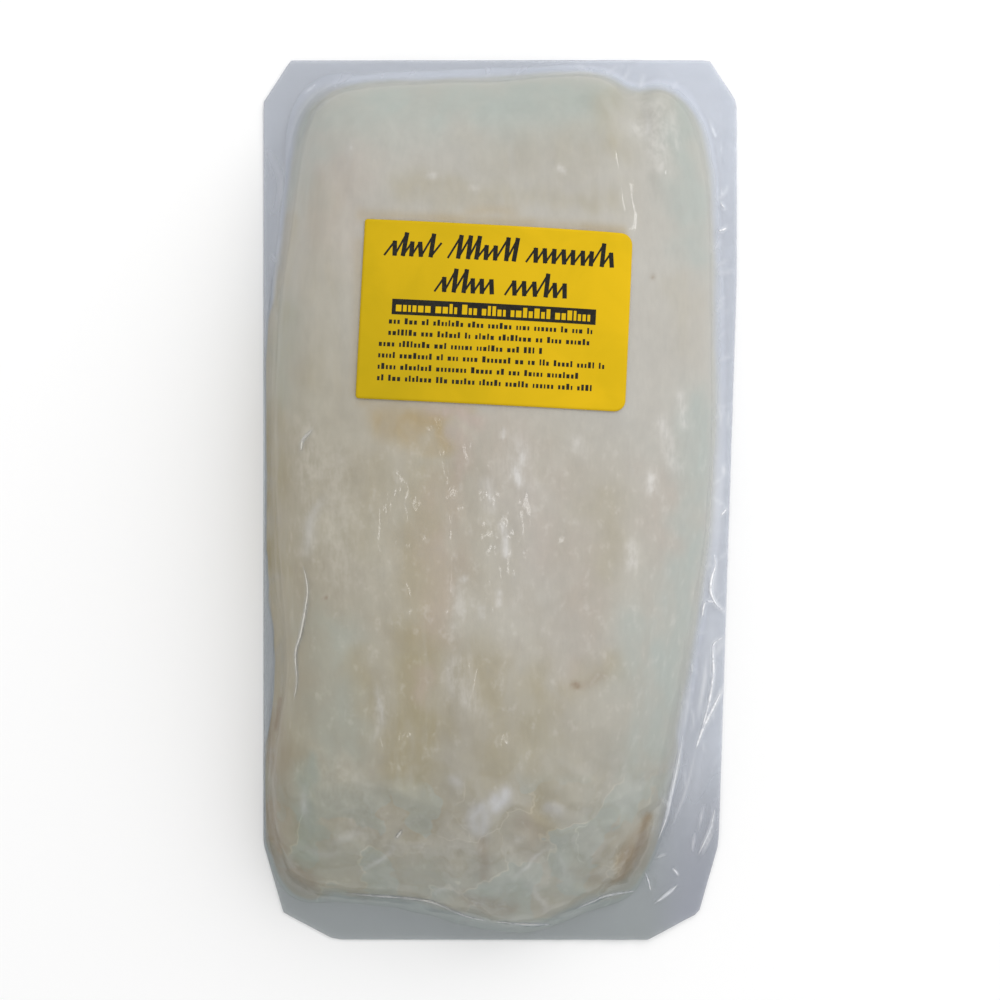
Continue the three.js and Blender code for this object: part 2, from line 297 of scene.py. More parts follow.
class BagForm:
    """The bag's top surface on one raster, in millimetres: heights, masks and relief."""

    def __init__(self, settings):
        low, high = BAG_LOW - RASTER_PAST, BAG_HIGH + RASTER_PAST + RASTER
        self.xs = np.arange(low[0], high[0], RASTER)
        self.ys = np.arange(low[1], high[1], RASTER)
        self.x, self.y = np.meshgrid(self.xs, self.ys)
        self.film_outline = ring(0)
        self.loin_outline = ring(SKIRT)
        solid = self.solid_heights()
        on_loin = solid > SKIRT
        self.loin_share = soften(on_loin.astype(float), FOOT_BLUR, FOOT_BLUR)
        height = soften(np.where(on_loin, solid, np.maximum(solid, MARGIN)), FACET_BLUR, FACET_BLUR)
        self.height = self.bridged(height)
        self.freedom = self.label_freedom(settings.label)
        self.relief = self.muscle_relief(settings.loin) * self.freedom * self.loin_share
        self.creases = self.film_creases() * self.freedom
        self.pleats = self.margin_pleats() * (1 - self.loin_share)

    def solid_heights(self):
        tree = node_tree(BAG)
        heights = np.zeros(self.x.shape)
        down = Vector((0, 0, -1))
        for place in np.ndindex(heights.shape):
            start = Vector((self.x[place] * MM, self.y[place] * MM, RAY_START))
            hit = tree.ray_cast(start, down)[0]
            if hit:
                heights[place] = hit.z / MM
        return heights

    def bridged(self, height):
        """The heights with the film drawn tight across hollows, as at the loin's foot."""
        to_edge = self.film_outline(np.arctan2(self.y, self.x)) - np.hypot(self.x, self.y)
        tight = soften(height, BRIDGE, BRIDGE)
        return height + np.maximum(tight - height, 0) * smooth_step(to_edge, *EDGE_HOLD)

    def label_freedom(self, label):
        """0 under the label, where the film lies flat, rising to 1 away from it."""
        across, along = label_place(label, self.x, self.y)
        beside = abs(across) - label.width / MM / 2
        beyond = abs(along) - label.height / MM / 2
        return smooth_step(np.maximum(beside, beyond), *LABEL_HOLD)

    def grain(self, seed, across, along, share):
        """Seeded smooth noise of the given grain size, with the share as its standard deviation."""
        noise = soften(np.random.default_rng(seed).standard_normal(self.x.shape), across, along)
        return share * noise / noise.std()

    def muscle_relief(self, loin):
        """Lumps and long fibres of the muscle, with plates of flakes at the tail end."""
        lumps = sum(self.grain(*noise) for noise in LUMPS)
        plates = PLATE_TOP - sum(abs(self.grain(*noise)) for noise in PLATES)
        return loin.lumps / MM * (lumps + zone("flaky tail", self.x, self.y) * plates)

    def film_creases(self):
        """Standing creases of the film, placed from a list and by seeded draws, up to 1."""
        field = np.zeros(self.x.shape)
        placed = [crease for creases in CREASES.values() for crease in creases]
        for points, width, share in (*placed, *drawn_creases(), *foot_gathers(self.loin_outline)):
            self.add_stroke(field, points, width, share, tapered=True)
        return field

    def margin_pleats(self):
        """Shallow pleats of the film's free margin, up to about 1."""
        pleats = sum(abs(self.grain(*noise)) for noise in PLEATS)
        return np.clip(pleats, 0, 1) * zone("pleats", self.x, self.y)

    def stroke_mask(self, strokes):
        """How strongly a table of strokes marks the loin, with wandering edges."""
        wide, small = np.zeros(self.x.shape), np.zeros(self.x.shape)
        for points, width, share in strokes:
            self.add_stroke(small if width < SMALL_MARK else wide, points, width, share)
        across, along = (self.grain(*noise) for noise in WANDER)
        return np.maximum(self.read(wide, self.x + across, self.y + along), small)

    def add_stroke(self, field, points, width, share, tapered=False):
        """Raises a field to a soft stroke along points, which fades to both ends if tapered."""
        reach = int(STROKE_REACH * width / RASTER) + 1
        path = smooth_path(points)
        for number, (x, y) in enumerate(path):
            column = int(round((x - self.xs[0]) / RASTER))
            row = int(round((y - self.ys[0]) / RASTER))
            rows = slice(max(row - reach, 0), row + reach + 1)
            window = rows, slice(max(column - reach, 0), column + reach + 1)
            far = (self.x[window] - x) ** 2 + (self.y[window] - y) ** 2
            strength = share
            if tapered:
                strength *= math.sin(math.pi * (number + 1) / (len(path) + 1)) ** STROKE_TAPER
            field[window] = np.maximum(field[window], strength * np.exp(-far / width ** 2))

    def read(self, field, x, y):
        """A field's values at points, between its raster's samples."""
        column = np.clip((x - self.xs[0]) / RASTER, 0, len(self.xs) - 1.001)
        row = np.clip((y - self.ys[0]) / RASTER, 0, len(self.ys) - 1.001)
        left, low = column.astype(int), row.astype(int)
        right_share, high_share = column - left, row - low
        bottom = field[low, left] * (1 - right_share) + field[low, left + 1] * right_share
        top = field[low + 1, left] * (1 - right_share) + field[low + 1, left + 1] * right_share
        return bottom * (1 - high_share) + top * high_share

    def section(self, positions, across):
        """The bag's height along its middle, across or along the pack."""
        still = np.zeros_like(positions)
        x, y = (positions, still) if across else (still, positions)
        return self.read(self.height, x, y)


STROKE_REACH = 2.6  # how far a soft stroke reaches, as a share of its width
STROKE_TAPER = 0.6
SMALL_MARK = 1.5  # marks narrower than this don't wander

# Creases of the film by place: points on the pack in millimetres, a width, a share of the full height
CREASES = {
    "right margin": (
        (((50.9, -13), (51.2, -15.5), (50.2, -19.2), (50.2, -22.2), (51.8, -25.1), (54.6, -27.3)),
         0.6, 1.0),
        (((49.2, -24), (50.4, -24.2), (51.2, -24.4)), 0.6, 0.8),
        (((48, -27.6), (48.4, -25), (49, -23.8)), 0.5, 0.7),
        (((54.7, -32), (51.1, -34.2), (50.8, -37.3), (50.8, -42), (49.6, -49.2), (47.5, -56.6)),
         0.6, 1.0),
        (((49.4, -35.4), (48.7, -43), (47.5, -50.4), (47.7, -53.5)), 0.8, 0.5),
        (((54.2, -43), (51.1, -49.2), (48.4, -54.5), (46.5, -59.7)), 0.7, 0.8),
        (((52.7, -3.6), (54.4, -1.8)), 0.5, 0.7),
        (((52.6, 70.4), (53.2, 69.6), (53.8, 69)), 0.5, 0.8),
        (((51.8, 63.8), (53, 64.2), (54.2, 64.9)), 0.5, 0.8),
        (((53.4, 6), (53.2, 8.4)), 0.9, 0.5),
    ),
    "lower right margin": (
        (((43.4, -56), (42, -63.8), (40.6, -70.2), (39.4, -75.7), (37.5, -81)), 0.5, 0.9),
        (((45.6, -40.4), (44.6, -48), (43.4, -56)), 0.5, 0.35),
        (((45.7, -39), (45.5, -41.4)), 0.4, 0.7),
        (((47, -57.8), (44.4, -68.8), (41.3, -77.2), (40.8, -81.7)), 0.6, 0.4),
        (((51.3, -73.8), (49.9, -79), (47.2, -85)), 0.5, 0.8),
        (((46.5, -79), (45.8, -84.8)), 0.5, 0.5),
        (((51.6, -77.4), (49.6, -82), (47.5, -86.2)), 0.5, 0.5),
        (((36.8, -96.2), (39.6, -94.2), (42.5, -91.7)), 0.45, 0.9),
        (((41.3, -87.9), (42, -88.8), (42.7, -89.8)), 0.45, 0.8),
        (((34.6, -88.6), (35.4, -91), (36, -93.4)), 0.5, 0.6),
        (((36.8, -85.5), (38.6, -84.6), (40.1, -84.3)), 0.5, 0.5),
        (((53.8, -33.2), (52.2, -35.4), (51.4, -38)), 1.3, 0.45),
        (((50.6, -44), (49.4, -50), (47.8, -55)), 1.1, 0.25),
        (((51.6, -15), (51, -20), (51.8, -24)), 1.0, 0.35),
        (((51.6, -74), (50, -80), (47.4, -85)), 1.6, 0.3),
        (((53, -76), (52.6, -80)), 1.0, 0.45),
        (((51, -26), (50.5, -36), (49, -50)), 2.4, 0.3),
        (((48.5, -60), (46, -74)), 2.2, 0.22),
        (((52.5, 10), (52, -4), (50.5, -16)), 1.8, 0.2),
    ),
    "left wall": (
        (((-44.4, -15), (-43.5, -19.9), (-44, -24.4), (-45.3, -30.5), (-46.7, -35.1), (-46.3, -41),
          (-47, -45.6)), 0.45, 0.7),
        (((-42.3, 15.7), (-44.4, 13.4), (-44.9, 10.8)), 0.45, 0.6),
        (((-39.4, 0.8), (-42.5, -4.2), (-43.2, -8.2), (-43.6, -13.7)), 1.4, 0.5),
        (((-27.8, -41.9), (-26.5, -48.4), (-26, -51.3)), 0.6, 0.5),
        (((-44.5, -66), (-44.6, -70), (-44.4, -74.3)), 1.1, 0.5),
        (((-49, -82), (-48.3, -85), (-46.4, -88)), 0.8, 0.5),
    ),
    "tail end": (
        (((-36.5, -92.8), (-30, -93.6), (-21.7, -94.1), (-15.2, -95.1), (-8.8, -98.4), (-3, -99.8)),
         0.55, 0.75),
        (((-1, -99.6), (6.7, -100.6), (12.4, -101)), 0.6, 0.6),
        (((18, -97), (21.9, -95.3), (25, -94), (29.5, -93.4), (32.4, -93.2)), 0.5, 0.65),
        (((12.2, -97.7), (15, -99), (19, -97.6), (22, -95.4)), 0.7, 0.5),
        (((-22.4, -75.4), (-24, -77.6)), 0.45, 0.9),
    ),
    "tail folds": (
        (((-24.2, -78), (-25, -80.6), (-28.5, -83.6), (-32.7, -86.2)), 0.7, 0.75),
        (((-15.5, -92.5), (-13.6, -90.5), (-10.2, -90.1)), 0.7, 0.7),
        (((-6.9, -95.1), (-5, -93.6), (-3.1, -93.2)), 0.7, 0.6),
        (((11.8, -79.4), (9.6, -80.4), (7.3, -82.4), (6.6, -83.8), (4.4, -85.6), (2.6, -88)), 0.6, 0.85),
        (((11.8, -79.4), (14.6, -84), (15.2, -90)), 0.8, 0.55),
        (((6.4, -86.6), (7.8, -89.3), (8.6, -92), (10.4, -94), (11, -96.6), (12.6, -98)), 1.0, 0.75),
        (((-38.4, -78.7), (-36, -77.2), (-34.1, -76.8), (-31.1, -74.2)), 1.2, 0.6),
        (((-45, -80), (-40, -81.5), (-36, -80)), 1.0, 0.5),
    ),
    "head end": (
        (((-20, 98.4), (-8, 99), (2, 98.6), (12, 100.4), (22, 99.6)), 0.7, 0.4),
        (((-47, 84), (-42, 91), (-34, 95.6)), 0.8, 0.35),
        (((-55.4, 83.4), (-54.2, 81), (-52.6, 77.4), (-52.2, 74), (-53, 70.4), (-54.6, 68)), 0.8, 0.22),
        (((33.8, 82), (34.4, 88), (33, 92)), 0.9, 0.4),
    ),
}
# How wide a place's crisp creases stand, as a share of their width, and how white they are, as painted
# highlights
CREASE_LOOK = {"right margin": (1.0, 0.85), "lower right margin": (0.65, 0.7), "left wall": (0.8, 0.6),
               "tail end": (1.0, 0.4), "head end": (0.8, 0.3)}
CRISP_SHARE = 0.6  # from this share of the height on, a crease also stands up crisply

# Where small creases are drawn: count, middle, spread, heading and its spread in degrees, length
# and share of the full height
CREASE_FIELDS = (
    (30, (2, -85), (34, 9), 70, 50, 6, 0.35),
    (16, (48, -58), (4, 26), 80, 20, 6, 0.4),
    (8, (53, 20), (2, 60), 75, 35, 4, 0.4),
    (14, (-5, 99), (38, 3), 75, 35, 5, 0.3),
    (36, (4, -24), (34, 46), 88, 22, 2.2, 0.25),
    (16, (-6, 76), (30, 8), 60, 60, 2.0, 0.2),
    (14, (40, 30), (5, 36), 85, 20, 4, 0.2),
)
# What is drawn for each of them: shares of the length and the height, and the most that it bends
DRAWN_LENGTH, DRAWN_SHARE, DRAWN_BEND = (0.4, 1.3), (0.4, 1.2), 0.25
DRAWN_WIDTH = 0.5

# Gathers of the film across the loin's foot: how far they run inwards and outwards, their slant in
# radians, and their share of the full height
GATHERS = 120
GATHER_IN, GATHER_OUT, GATHER_SLANT, GATHER_SHARE = (0, 3), (1, 5), (-0.05, 0.05), (0.08, 0.4)
GATHER_WIDTH = 0.6


def smooth_path(points, step=0.35):
    """Even points along a smooth curve through the given ones."""
    points = np.array(points, float)
    if len(points) == 1:
        return points
    ahead = np.vstack((2 * points[0] - points[1], points, 2 * points[-1] - points[-2]))
    path = []
    for start in range(len(points) - 1):
        before, here, there, after = ahead[start:start + 4]
        count = max(2, int(np.hypot(*(there - here)) / step))
        for share in np.arange(count) / count:
            bend = (2 * before - 5 * here + 4 * there - after) * share ** 2
            turn = (3 * here - before - 3 * there + after) * share ** 3
            path.append(here + 0.5 * ((there - before) * share + bend + turn))
    return path


def drawn_creases(seed=3):
    """Small creases scattered over the parts of the film that crumple."""
    draw = np.random.default_rng(seed)
    creases = []
    for count, middle, spread, heading, heading_spread, length, share in CREASE_FIELDS:
        for _ in range(count):
            at = np.array(middle) + np.array(spread) * draw.uniform(-1, 1, 2)
            angle = math.radians(heading + heading_spread * draw.uniform(-1, 1))
            half = length / 2 * draw.uniform(*DRAWN_LENGTH)
            along = np.array((math.cos(angle), math.sin(angle))) * half
            bend = np.array((-along[1], along[0])) * draw.uniform(-DRAWN_BEND, DRAWN_BEND)
            strength = share * draw.uniform(*DRAWN_SHARE)
            creases.append(((at - along, at + bend, at + along), DRAWN_WIDTH, strength))
    return creases


def foot_gathers(outline, seed=8):
    """Short gathers of the film that cross the loin's foot all round it."""
    draw = np.random.default_rng(seed)
    gathers = []
    for angle in np.sort(draw.uniform(-math.pi, math.pi, GATHERS)):
        slant = draw.uniform(*GATHER_SLANT)
        inner = outline(angle) - draw.uniform(*GATHER_IN)
        outer = outline(angle) + draw.uniform(*GATHER_OUT)
        ends = ((inner * math.cos(angle), inner * math.sin(angle)),
                (outer * math.cos(angle + slant), outer * math.sin(angle + slant)))
        gathers.append((ends, GATHER_WIDTH, draw.uniform(*GATHER_SHARE)))
    return gathers


def label_place(label, x, y):
    """Places across and along the label of points on the pack."""
    x, y = x - LABEL_MIDDLE[0], y - LABEL_MIDDLE[1]
    cos, sin = math.cos(label.turn), math.sin(label.turn)
    return x * cos + y * sin, y * cos - x * sin


def pack_place(label, across, along):
    """Points on the pack of places across and along the label."""
    cos, sin = math.cos(label.turn), math.sin(label.turn)
    x, y = across * cos - along * sin, across * sin + along * cos
    return LABEL_MIDDLE[0] + x, LABEL_MIDDLE[1] + y


@functools.lru_cache(maxsize=None)
def bag_form():
    """The bag's form, read once for all the pieces."""
    return BagForm(bpy.context.scene.cod_pack)


def even_stations(positions, heights, count, density):
    """Positions at even steps over a section's surface, closer together where density is high."""
    run = np.hypot(np.diff(positions), np.diff(heights)) * density(positions[1:])
    travelled = np.concatenate(([0], np.cumsum(run)))
    return np.interp(np.linspace(0, travelled[-1], count), travelled, positions)


def sheet_places(outline, columns, rows):
    """Points of a grid that fills an outline, one array for each direction."""
    across, along = np.meshgrid(columns, rows)
    wide = np.where(across < 0, -columns[0], columns[-1])
    deep = np.where(along < 0, -rows[0], rows[-1])
    nearness = np.maximum(np.maximum(abs(across) / wide, abs(along) / deep), TINY)
    box_edge = np.hypot(across, along) / nearness
    edge = outline(np.arctan2(along, across))
    pull = 1 + (edge / np.maximum(box_edge, TINY) - 1) * nearness ** OUTLINE_HOLD
    return across * pull, along * pull


def grid_faces(columns, rows):
    """The quads of a grid of points, facing up."""
    index = np.arange(columns * rows).reshape(rows, columns)
    low, high = index[:-1], index[1:]
    return np.stack((low[:, :-1], low[:, 1:], high[:, 1:], high[:, :-1]), -1).reshape(-1, 4)


def grid_rim(columns, rows):
    """The indices round a grid, anticlockwise from above."""
    index = np.arange(columns * rows).reshape(rows, columns)
    return np.concatenate((index[0, :-1], index[:-1, -1], index[-1, :0:-1], index[:0:-1, 0]))


def band_faces(inner, outer):
    """The quads of a band between two loops of indices."""
    return np.stack((inner, outer, np.roll(outer, -1), np.roll(inner, -1)), -1)


def closed_sheet(x, y, z, rings):
    """Points and faces of a sheet closed below by rings, each a scale of the sheet's rim and a height."""
    rows, columns = x.shape
    points = [np.stack((x.ravel(), y.ravel(), z.ravel()), -1)]
    faces = [grid_faces(columns, rows)]
    loop = grid_rim(columns, rows)
    rim = points[0][loop]
    used = len(points[0])
    for scale, height in rings:
        points.append(np.column_stack((rim[:, :2] * scale, np.full(len(rim), height))))
        below = np.arange(len(loop)) + used
        used += len(loop)
        faces.append(band_faces(loop, below))
        loop = below
    points.append(np.array([[0, 0, points[-1][:, 2].mean()]]))
    fan = [(used, after, here) for here, after in zip(loop, np.roll(loop, -1))]
    return np.concatenate(points), [tuple(f) for group in faces for f in group.tolist()] + fan


def new_piece(name, points, faces, materials, replaced):
    """A smooth mesh piece in the pack, from points in millimetres, that rides on the part."""
    mesh = bpy.data.meshes.new(name)
    mesh.from_pydata((points * MM).tolist(), [], faces)
    mesh.validate()
    mesh.shade_smooth()
    for material in materials:
        mesh.materials.append(material)
    piece = bpy.data.objects.new(name, mesh)
    bpy.context.scene.collection.objects.link(piece)
    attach(piece, BODY)
    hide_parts(replaced)
    return piece


def add_mask(piece, name, values):
    """A value for each point of a piece, for its material to read."""
    mask = piece.data.attributes.new(name, "FLOAT", "POINT")
    mask.data.foreach_set("value", np.asarray(values, np.float32))


class NodeDesk:
    """Adds nodes to a tree, and links or sets their inputs by name."""

    def __init__(self, tree):
        self.tree = tree

    def add(self, kind, inputs=None, **settings):
        node = self.tree.nodes.new(kind)
        for name, value in settings.items():
            setattr(node, name, value)
        for name, value in (inputs or {}).items():
            socket = node.inputs[name]
            if isinstance(value, bpy.types.NodeSocket):
                self.tree.links.new(value, socket)
            else:
                socket.default_value = value
        return node

    def mask(self, name):
        return self.add("ShaderNodeAttribute", attribute_name=name).outputs["Fac"]

    def mix(self, share, first, second, blend="MIX"):
        inputs = {0: share, 6: first, 7: second}
        return self.add("ShaderNodeMix", inputs, data_type="RGBA", blend_type=blend).outputs[2]

    def math(self, operation, first, second, clamp=False):
        inputs = {0: first, 1: second}
        return self.add("ShaderNodeMath", inputs, operation=operation, use_clamp=clamp).outputs[0]

    def times(self, product, *factors):
        for factor in factors:
            product = self.math("MULTIPLY", product, factor)
        return product

    def vector(self, operation, first, second):
        return self.add("ShaderNodeVectorMath", {0: first, 1: second}, operation=operation).outputs[0]

    def ramp(self, value, low, high, start=0.0, end=1.0):
        inputs = {"Value": value, "From Min": low, "From Max": high, "To Min": start, "To Max": end}
        return self.add("ShaderNodeMapRange", inputs, interpolation_type="SMOOTHSTEP").outputs["Result"]

    def noise(self, place, scale, detail, **others):
        inputs = {"Vector": place, "Scale": scale, "Detail": detail}
        inputs.update((name.title(), value) for name, value in others.items())
        return self.add("ShaderNodeTexNoise", inputs)

    def show(self, shader):
        """Gives the material a shader's surface."""
        self.add("ShaderNodeOutputMaterial", {"Surface": shader.outputs[0]})


def rgba(colour):
    return (*colour, 1.0)


def new_group(name, inputs, outputs):
    """A node group with the named kinds of sockets; gives it, its desk and what comes in."""
    group = bpy.data.node_groups.new(name, "ShaderNodeTree")
    for direction, sockets in (("INPUT", inputs), ("OUTPUT", outputs)):
        for socket, kind in sockets.items():
            group.interface.new_socket(socket, in_out=direction, socket_type="NodeSocket" + kind)
    desk = NodeDesk(group)
    return group, desk, desk.add("NodeGroupInput").outputs


def mottle_group():
    """A node group of soft uneven patches: a value about 0.5 at each of two scales."""
    group = bpy.data.node_groups.get("Soft mottle")
    if group:
        return group
    group, desk, given = new_group("Soft mottle", {"Patch size": "Float", "Stretch": "Vector"},
                                   {"Patches": "Float", "Grain": "Float"})
    place = desk.vector("MULTIPLY", desk.add("ShaderNodeTexCoord").outputs["Object"], given["Stretch"])
    scale = desk.math("DIVIDE", 1.0, given["Patch size"])
    patches = desk.noise(place, scale, 3.0, roughness=0.55, distortion=0.6)
    grain = desk.noise(place, desk.times(scale, GRAIN_FINENESS), 4.0, roughness=0.6)
    desk.add("NodeGroupOutput", {"Patches": patches.outputs["Fac"], "Grain": grain.outputs["Fac"]})
    return group


def add_mottle(desk, patch_size, stretch=(1, 1, 1)):
    """The mottle group placed in a material; gives its patches and its grain."""
    inputs = {"Patch size": patch_size, "Stretch": stretch}
    node = desk.add("ShaderNodeGroup", inputs, node_tree=mottle_group())
    return node.outputs["Patches"], node.outputs["Grain"]


def haze_group(film):
    """A node group of the film's haze: lilac, with painted shade that darkens it towards the tail end and
    a darker grey-green painted shade.
    """
    group = bpy.data.node_groups.get("Film haze")
    if group:
        return group
    group, desk, given = new_group("Film haze", {"Glow": "Float"}, {"Haze": "Color"})
    # Painted shade: darker haze towards the tail end
    haze = desk.mix(desk.mask("shade"), rgba(film.haze), rgba(film.deep))
    # Painted shade: darker grey-green haze at the tail end and on the left side
    haze = desk.mix(desk.mask("grey_green_shade"), haze, rgba(film.grey_green_shade))
    # Painted light: the Glow input lightens the haze
    lit = desk.add("ShaderNodeHueSaturation", {"Color": haze, "Value": given["Glow"]})
    desk.add("NodeGroupOutput", {"Haze": lit.outputs[0]})
    return group


def add_haze(desk, film):
    """The haze group placed in a material; gives its colour."""
    inputs = {"Glow": desk.mask("glow")}
    return desk.add("ShaderNodeGroup", inputs, node_tree=haze_group(film)).outputs["Haze"]


def add_haze_masks(piece, x, y):
    """What the haze group reads: how much painted shade darkens the haze at each point, and how much
    grey-green painted shade it has.
    """
    # Painted shade towards the tail end
    add_mask(piece, "shade", zone("shade", x, y + zone("shade drop", x, y)))
    # Painted grey-green shade at the tail end and on the left side
    add_mask(piece, "grey_green_shade", np.maximum(zone("tail juice", x, y), zone("left juice", x, y)))


def warped(desk, reach):
    """Object coordinates shifted by soft noise, so that plates and lines wander."""
    place = desk.add("ShaderNodeTexCoord").outputs["Object"]
    noise = desk.noise(place, 1 / WARP_GRAIN, 2.0)
    centred = desk.vector("SUBTRACT", noise.outputs["Color"], (0.5, 0.5, 0.5))
    return desk.vector("ADD", place, desk.vector("MULTIPLY", centred, (2 * reach,) * 3))


def torn_plates(desk, size, tear, edge):
    """Plates with torn edges: a value that is even on each plate, and its step across each edge."""
    place = warped(desk, tear)
    values = []
    for spot in (place, desk.vector("ADD", place, (edge, -edge, 0))):
        inputs = {"Vector": spot, "Scale": 1 / size}
        values.append(desk.add("ShaderNodeTexVoronoi", inputs, voronoi_dimensions="2D").outputs["Color"])
    return values[0], desk.math("SUBTRACT", *values)


def new_material(name):
    """A material with an empty node tree, and its desk."""
    material = bpy.data.materials.new(name)
    material.use_nodes = True
    material.node_tree.nodes.clear()
    return material, NodeDesk(material.node_tree)


# Sizes in the materials, in metres
FLESH_PATCH, FIBRE_PATCH = 16 * MM, 5 * MM
PLATE_SIZE, PLATE_TEAR, PLATE_EDGE = 9 * MM, 7 * MM, 0.4 * MM
SOFT_PLATE_TEAR = 2 * MM
WARP_GRAIN = 7 * MM
CRINKLE_PATCH, CREASE_PATCH = 5 * MM, 2.4 * MM
PAPER_PATCH, INK_PATCH = 16 * MM, 4 * MM
GRAIN_FINENESS = 7.0  # how much finer the mottle's grain is than its patches

WORN_PAPER = (0.9, 0.92, 0.8)  # what the paper's darker patches keep of its colour
WORN_INK = 0.015  # how much lighter worn ink is


def marked(desk, colour, marks):
    """A colour under marks, each with its mask, its colour, what breaks it up and its least cover."""
    for name, shade, cover, least in marks:
        share = desk.times(desk.mask(name), desk.ramp(cover, 0.36, 0.6, least, 1.0))
        colour = desk.mix(share, colour, rgba(shade))
    return colour


def plated(desk, colour, loin, plate, tail):
    """A colour broken up into cool and warm torn plates at the tail end."""
    for shade, low, high, share in ((loin.cool, 0.45, 0.41, 0.55), (loin.flesh, 0.57, 0.61, 0.35)):
        cover = desk.times(desk.ramp(plate, low, high), tail)
        colour = desk.mix(desk.times(cover, share), colour, rgba(shade))
    return colour


def flaked(desk, colour, loin, grain):
    """A colour with soft warm lines and pale plates at the tail end, and with white flecks, partly painted
    glints.
    """
    plate = desk.noise(warped(desk, SOFT_PLATE_TEAR), 1 / PLATE_SIZE, 2.0).outputs["Fac"]
    lines = desk.times(desk.ramp(plate, 0.4, 0.49), desk.ramp(plate, 0.49, 0.53, 1.0, 0.0))
    colour = desk.mix(desk.times(lines, desk.mask("tail"), 0.1), colour, rgba(loin.warm))
    pearly = desk.times(desk.ramp(plate, 0.49, 0.6), desk.mask("tail"))
    colour = desk.mix(desk.times(pearly, 0.14), colour, rgba(loin.flakes_and_glints))
    # White flecks, partly painted glints of the film
    flecks = desk.times(desk.ramp(grain, 0.55, 0.75), desk.mask("flecks"))
    return desk.mix(flecks, colour, rgba(loin.flakes_and_glints))


def loin_material(loin, film):
    """Wet raw cod: mottled flesh with streaks, flakes and stains, which fades into the haze at its rim."""
    material, desk = new_material("Raw cod")
    patches, grain = add_mottle(desk, FLESH_PATCH, (1, 0.7, 1))
    streaks, fibres = add_mottle(desk, FIBRE_PATCH, (1, 0.2, 1))
    torn = desk.math("ADD", desk.times(grain, 0.65), desk.times(fibres, 0.35))
    plate, edge = torn_plates(desk, PLATE_SIZE, PLATE_TEAR, PLATE_EDGE)
    tail = desk.ramp(desk.mask("tail"), 0.6, 1.0)
    colour = desk.mix(desk.ramp(patches, 0.35, 0.68), rgba(loin.flesh), rgba(loin.pale))
    # Painted light on the head end and the right side
    colour = desk.mix(desk.times(desk.mask("painted_light"), 0.7), colour, rgba(loin.painted_light))
    colour = marked(desk, colour, (("cool", loin.cool, patches, 0.6), ("warm", loin.warm, streaks, 0.6),
                                   ("fat", loin.fat, patches, 0.6), ("rosy", loin.rosy, streaks, 0.6),
                                   ("flakes_and_glints", loin.flakes_and_glints, torn, 0.3)))
    colour = plated(desk, colour, loin, plate, tail)
    colour = marked(desk, colour, (("pearl_and_sheen", loin.pearl_and_sheen, patches, 0.8), ("stain", loin.stain, grain, 0.7)))
    colour = flaked(desk, colour, loin, grain)
    # Painted shade: the flesh is darkened towards its ends, and on its left side, where it is also
    # yellower
    for name, shade in (("dim", loin.dim), ("left_shade_and_tint", loin.left_shade_and_tint)):
        colour = desk.mix(desk.mask(name), colour, rgba(shade), "MULTIPLY")
    uneven = desk.times(desk.math("SUBTRACT", patches, 0.5), 0.9)
    body = desk.ramp(desk.math("ADD", desk.mask("body"), uneven), 0.15, 0.85)
    colour = desk.mix(body, add_haze(desk, film), colour)
    # Painted light along the loin's foot, with an uneven grain of tone
    value = desk.math("ADD", desk.mask("foot_light"), desk.ramp(torn, 0.3, 0.7, -0.04, 0.04))
    # Painted light: a lighter line on one side of each torn plate's edge at the tail end, as a bump's
    # shading would give
    value = desk.math("ADD", value, desk.times(desk.ramp(edge, 0.0, 0.15, 0.0, 0.2), tail))
    lit = desk.add("ShaderNodeHueSaturation", {"Color": colour, "Value": value})
    bump = desk.add("ShaderNodeBump", {"Height": grain, "Strength": 0.22, "Distance": 0.3 * MM})
    desk.show(desk.add("ShaderNodeBsdfPrincipled", {
        "Base Color": lit.outputs[0], "Roughness": desk.ramp(grain, 0.2, 0.8, 0.4, 0.6),
        "Normal": bump.outputs["Normal"], "Specular IOR Level": 0.3}))
    return material


def film_material(film):
    """Clear glossy film: it tints what is behind it, and its haze is painted white along its creases as a
    highlight.
    """
    material, desk = new_material("Vacuum film")
    crinkle = add_mottle(desk, CRINKLE_PATCH, (1, 0.5, 1))[0]
    bump = desk.add("ShaderNodeBump", {"Height": crinkle, "Strength": 0.6, "Distance": 0.22 * MM})
    over, crease = desk.mask("over"), desk.mask("crease")
    haze = desk.mix(over, add_haze(desk, film), rgba(film.over))
    # Painted highlight: the haze turns white along the creases
    haze = desk.mix(desk.ramp(crease, 0.15, 0.8), haze, rgba(film.white))
    crumpled, margin = desk.ramp(crease, 0.0, 0.6, 0.08, 0.13), desk.ramp(over, 0.0, 0.8, 0.1, 0.0)
    roughness = desk.math("ADD", crumpled, margin)
    gloss = desk.add("ShaderNodeBsdfPrincipled", {
        "Base Color": haze, "Roughness": roughness, "Normal": bump.outputs["Normal"], "IOR": 2.6})
    clear = desk.add("ShaderNodeBsdfTransparent", {"Color": rgba(film.tint)})
    grazing = desk.add("ShaderNodeLayerWeight", {"Blend": 0.1}).outputs["Fresnel"]
    veil = desk.math("ADD", desk.mask("veil"), desk.times(crease, 0.45))
    veil = desk.math("ADD", veil, desk.times(grazing, 0.2), clamp=True)
    desk.show(desk.add("ShaderNodeMixShader", {0: veil, 1: clear.outputs[0], 2: gloss.outputs[0]}))
    return material


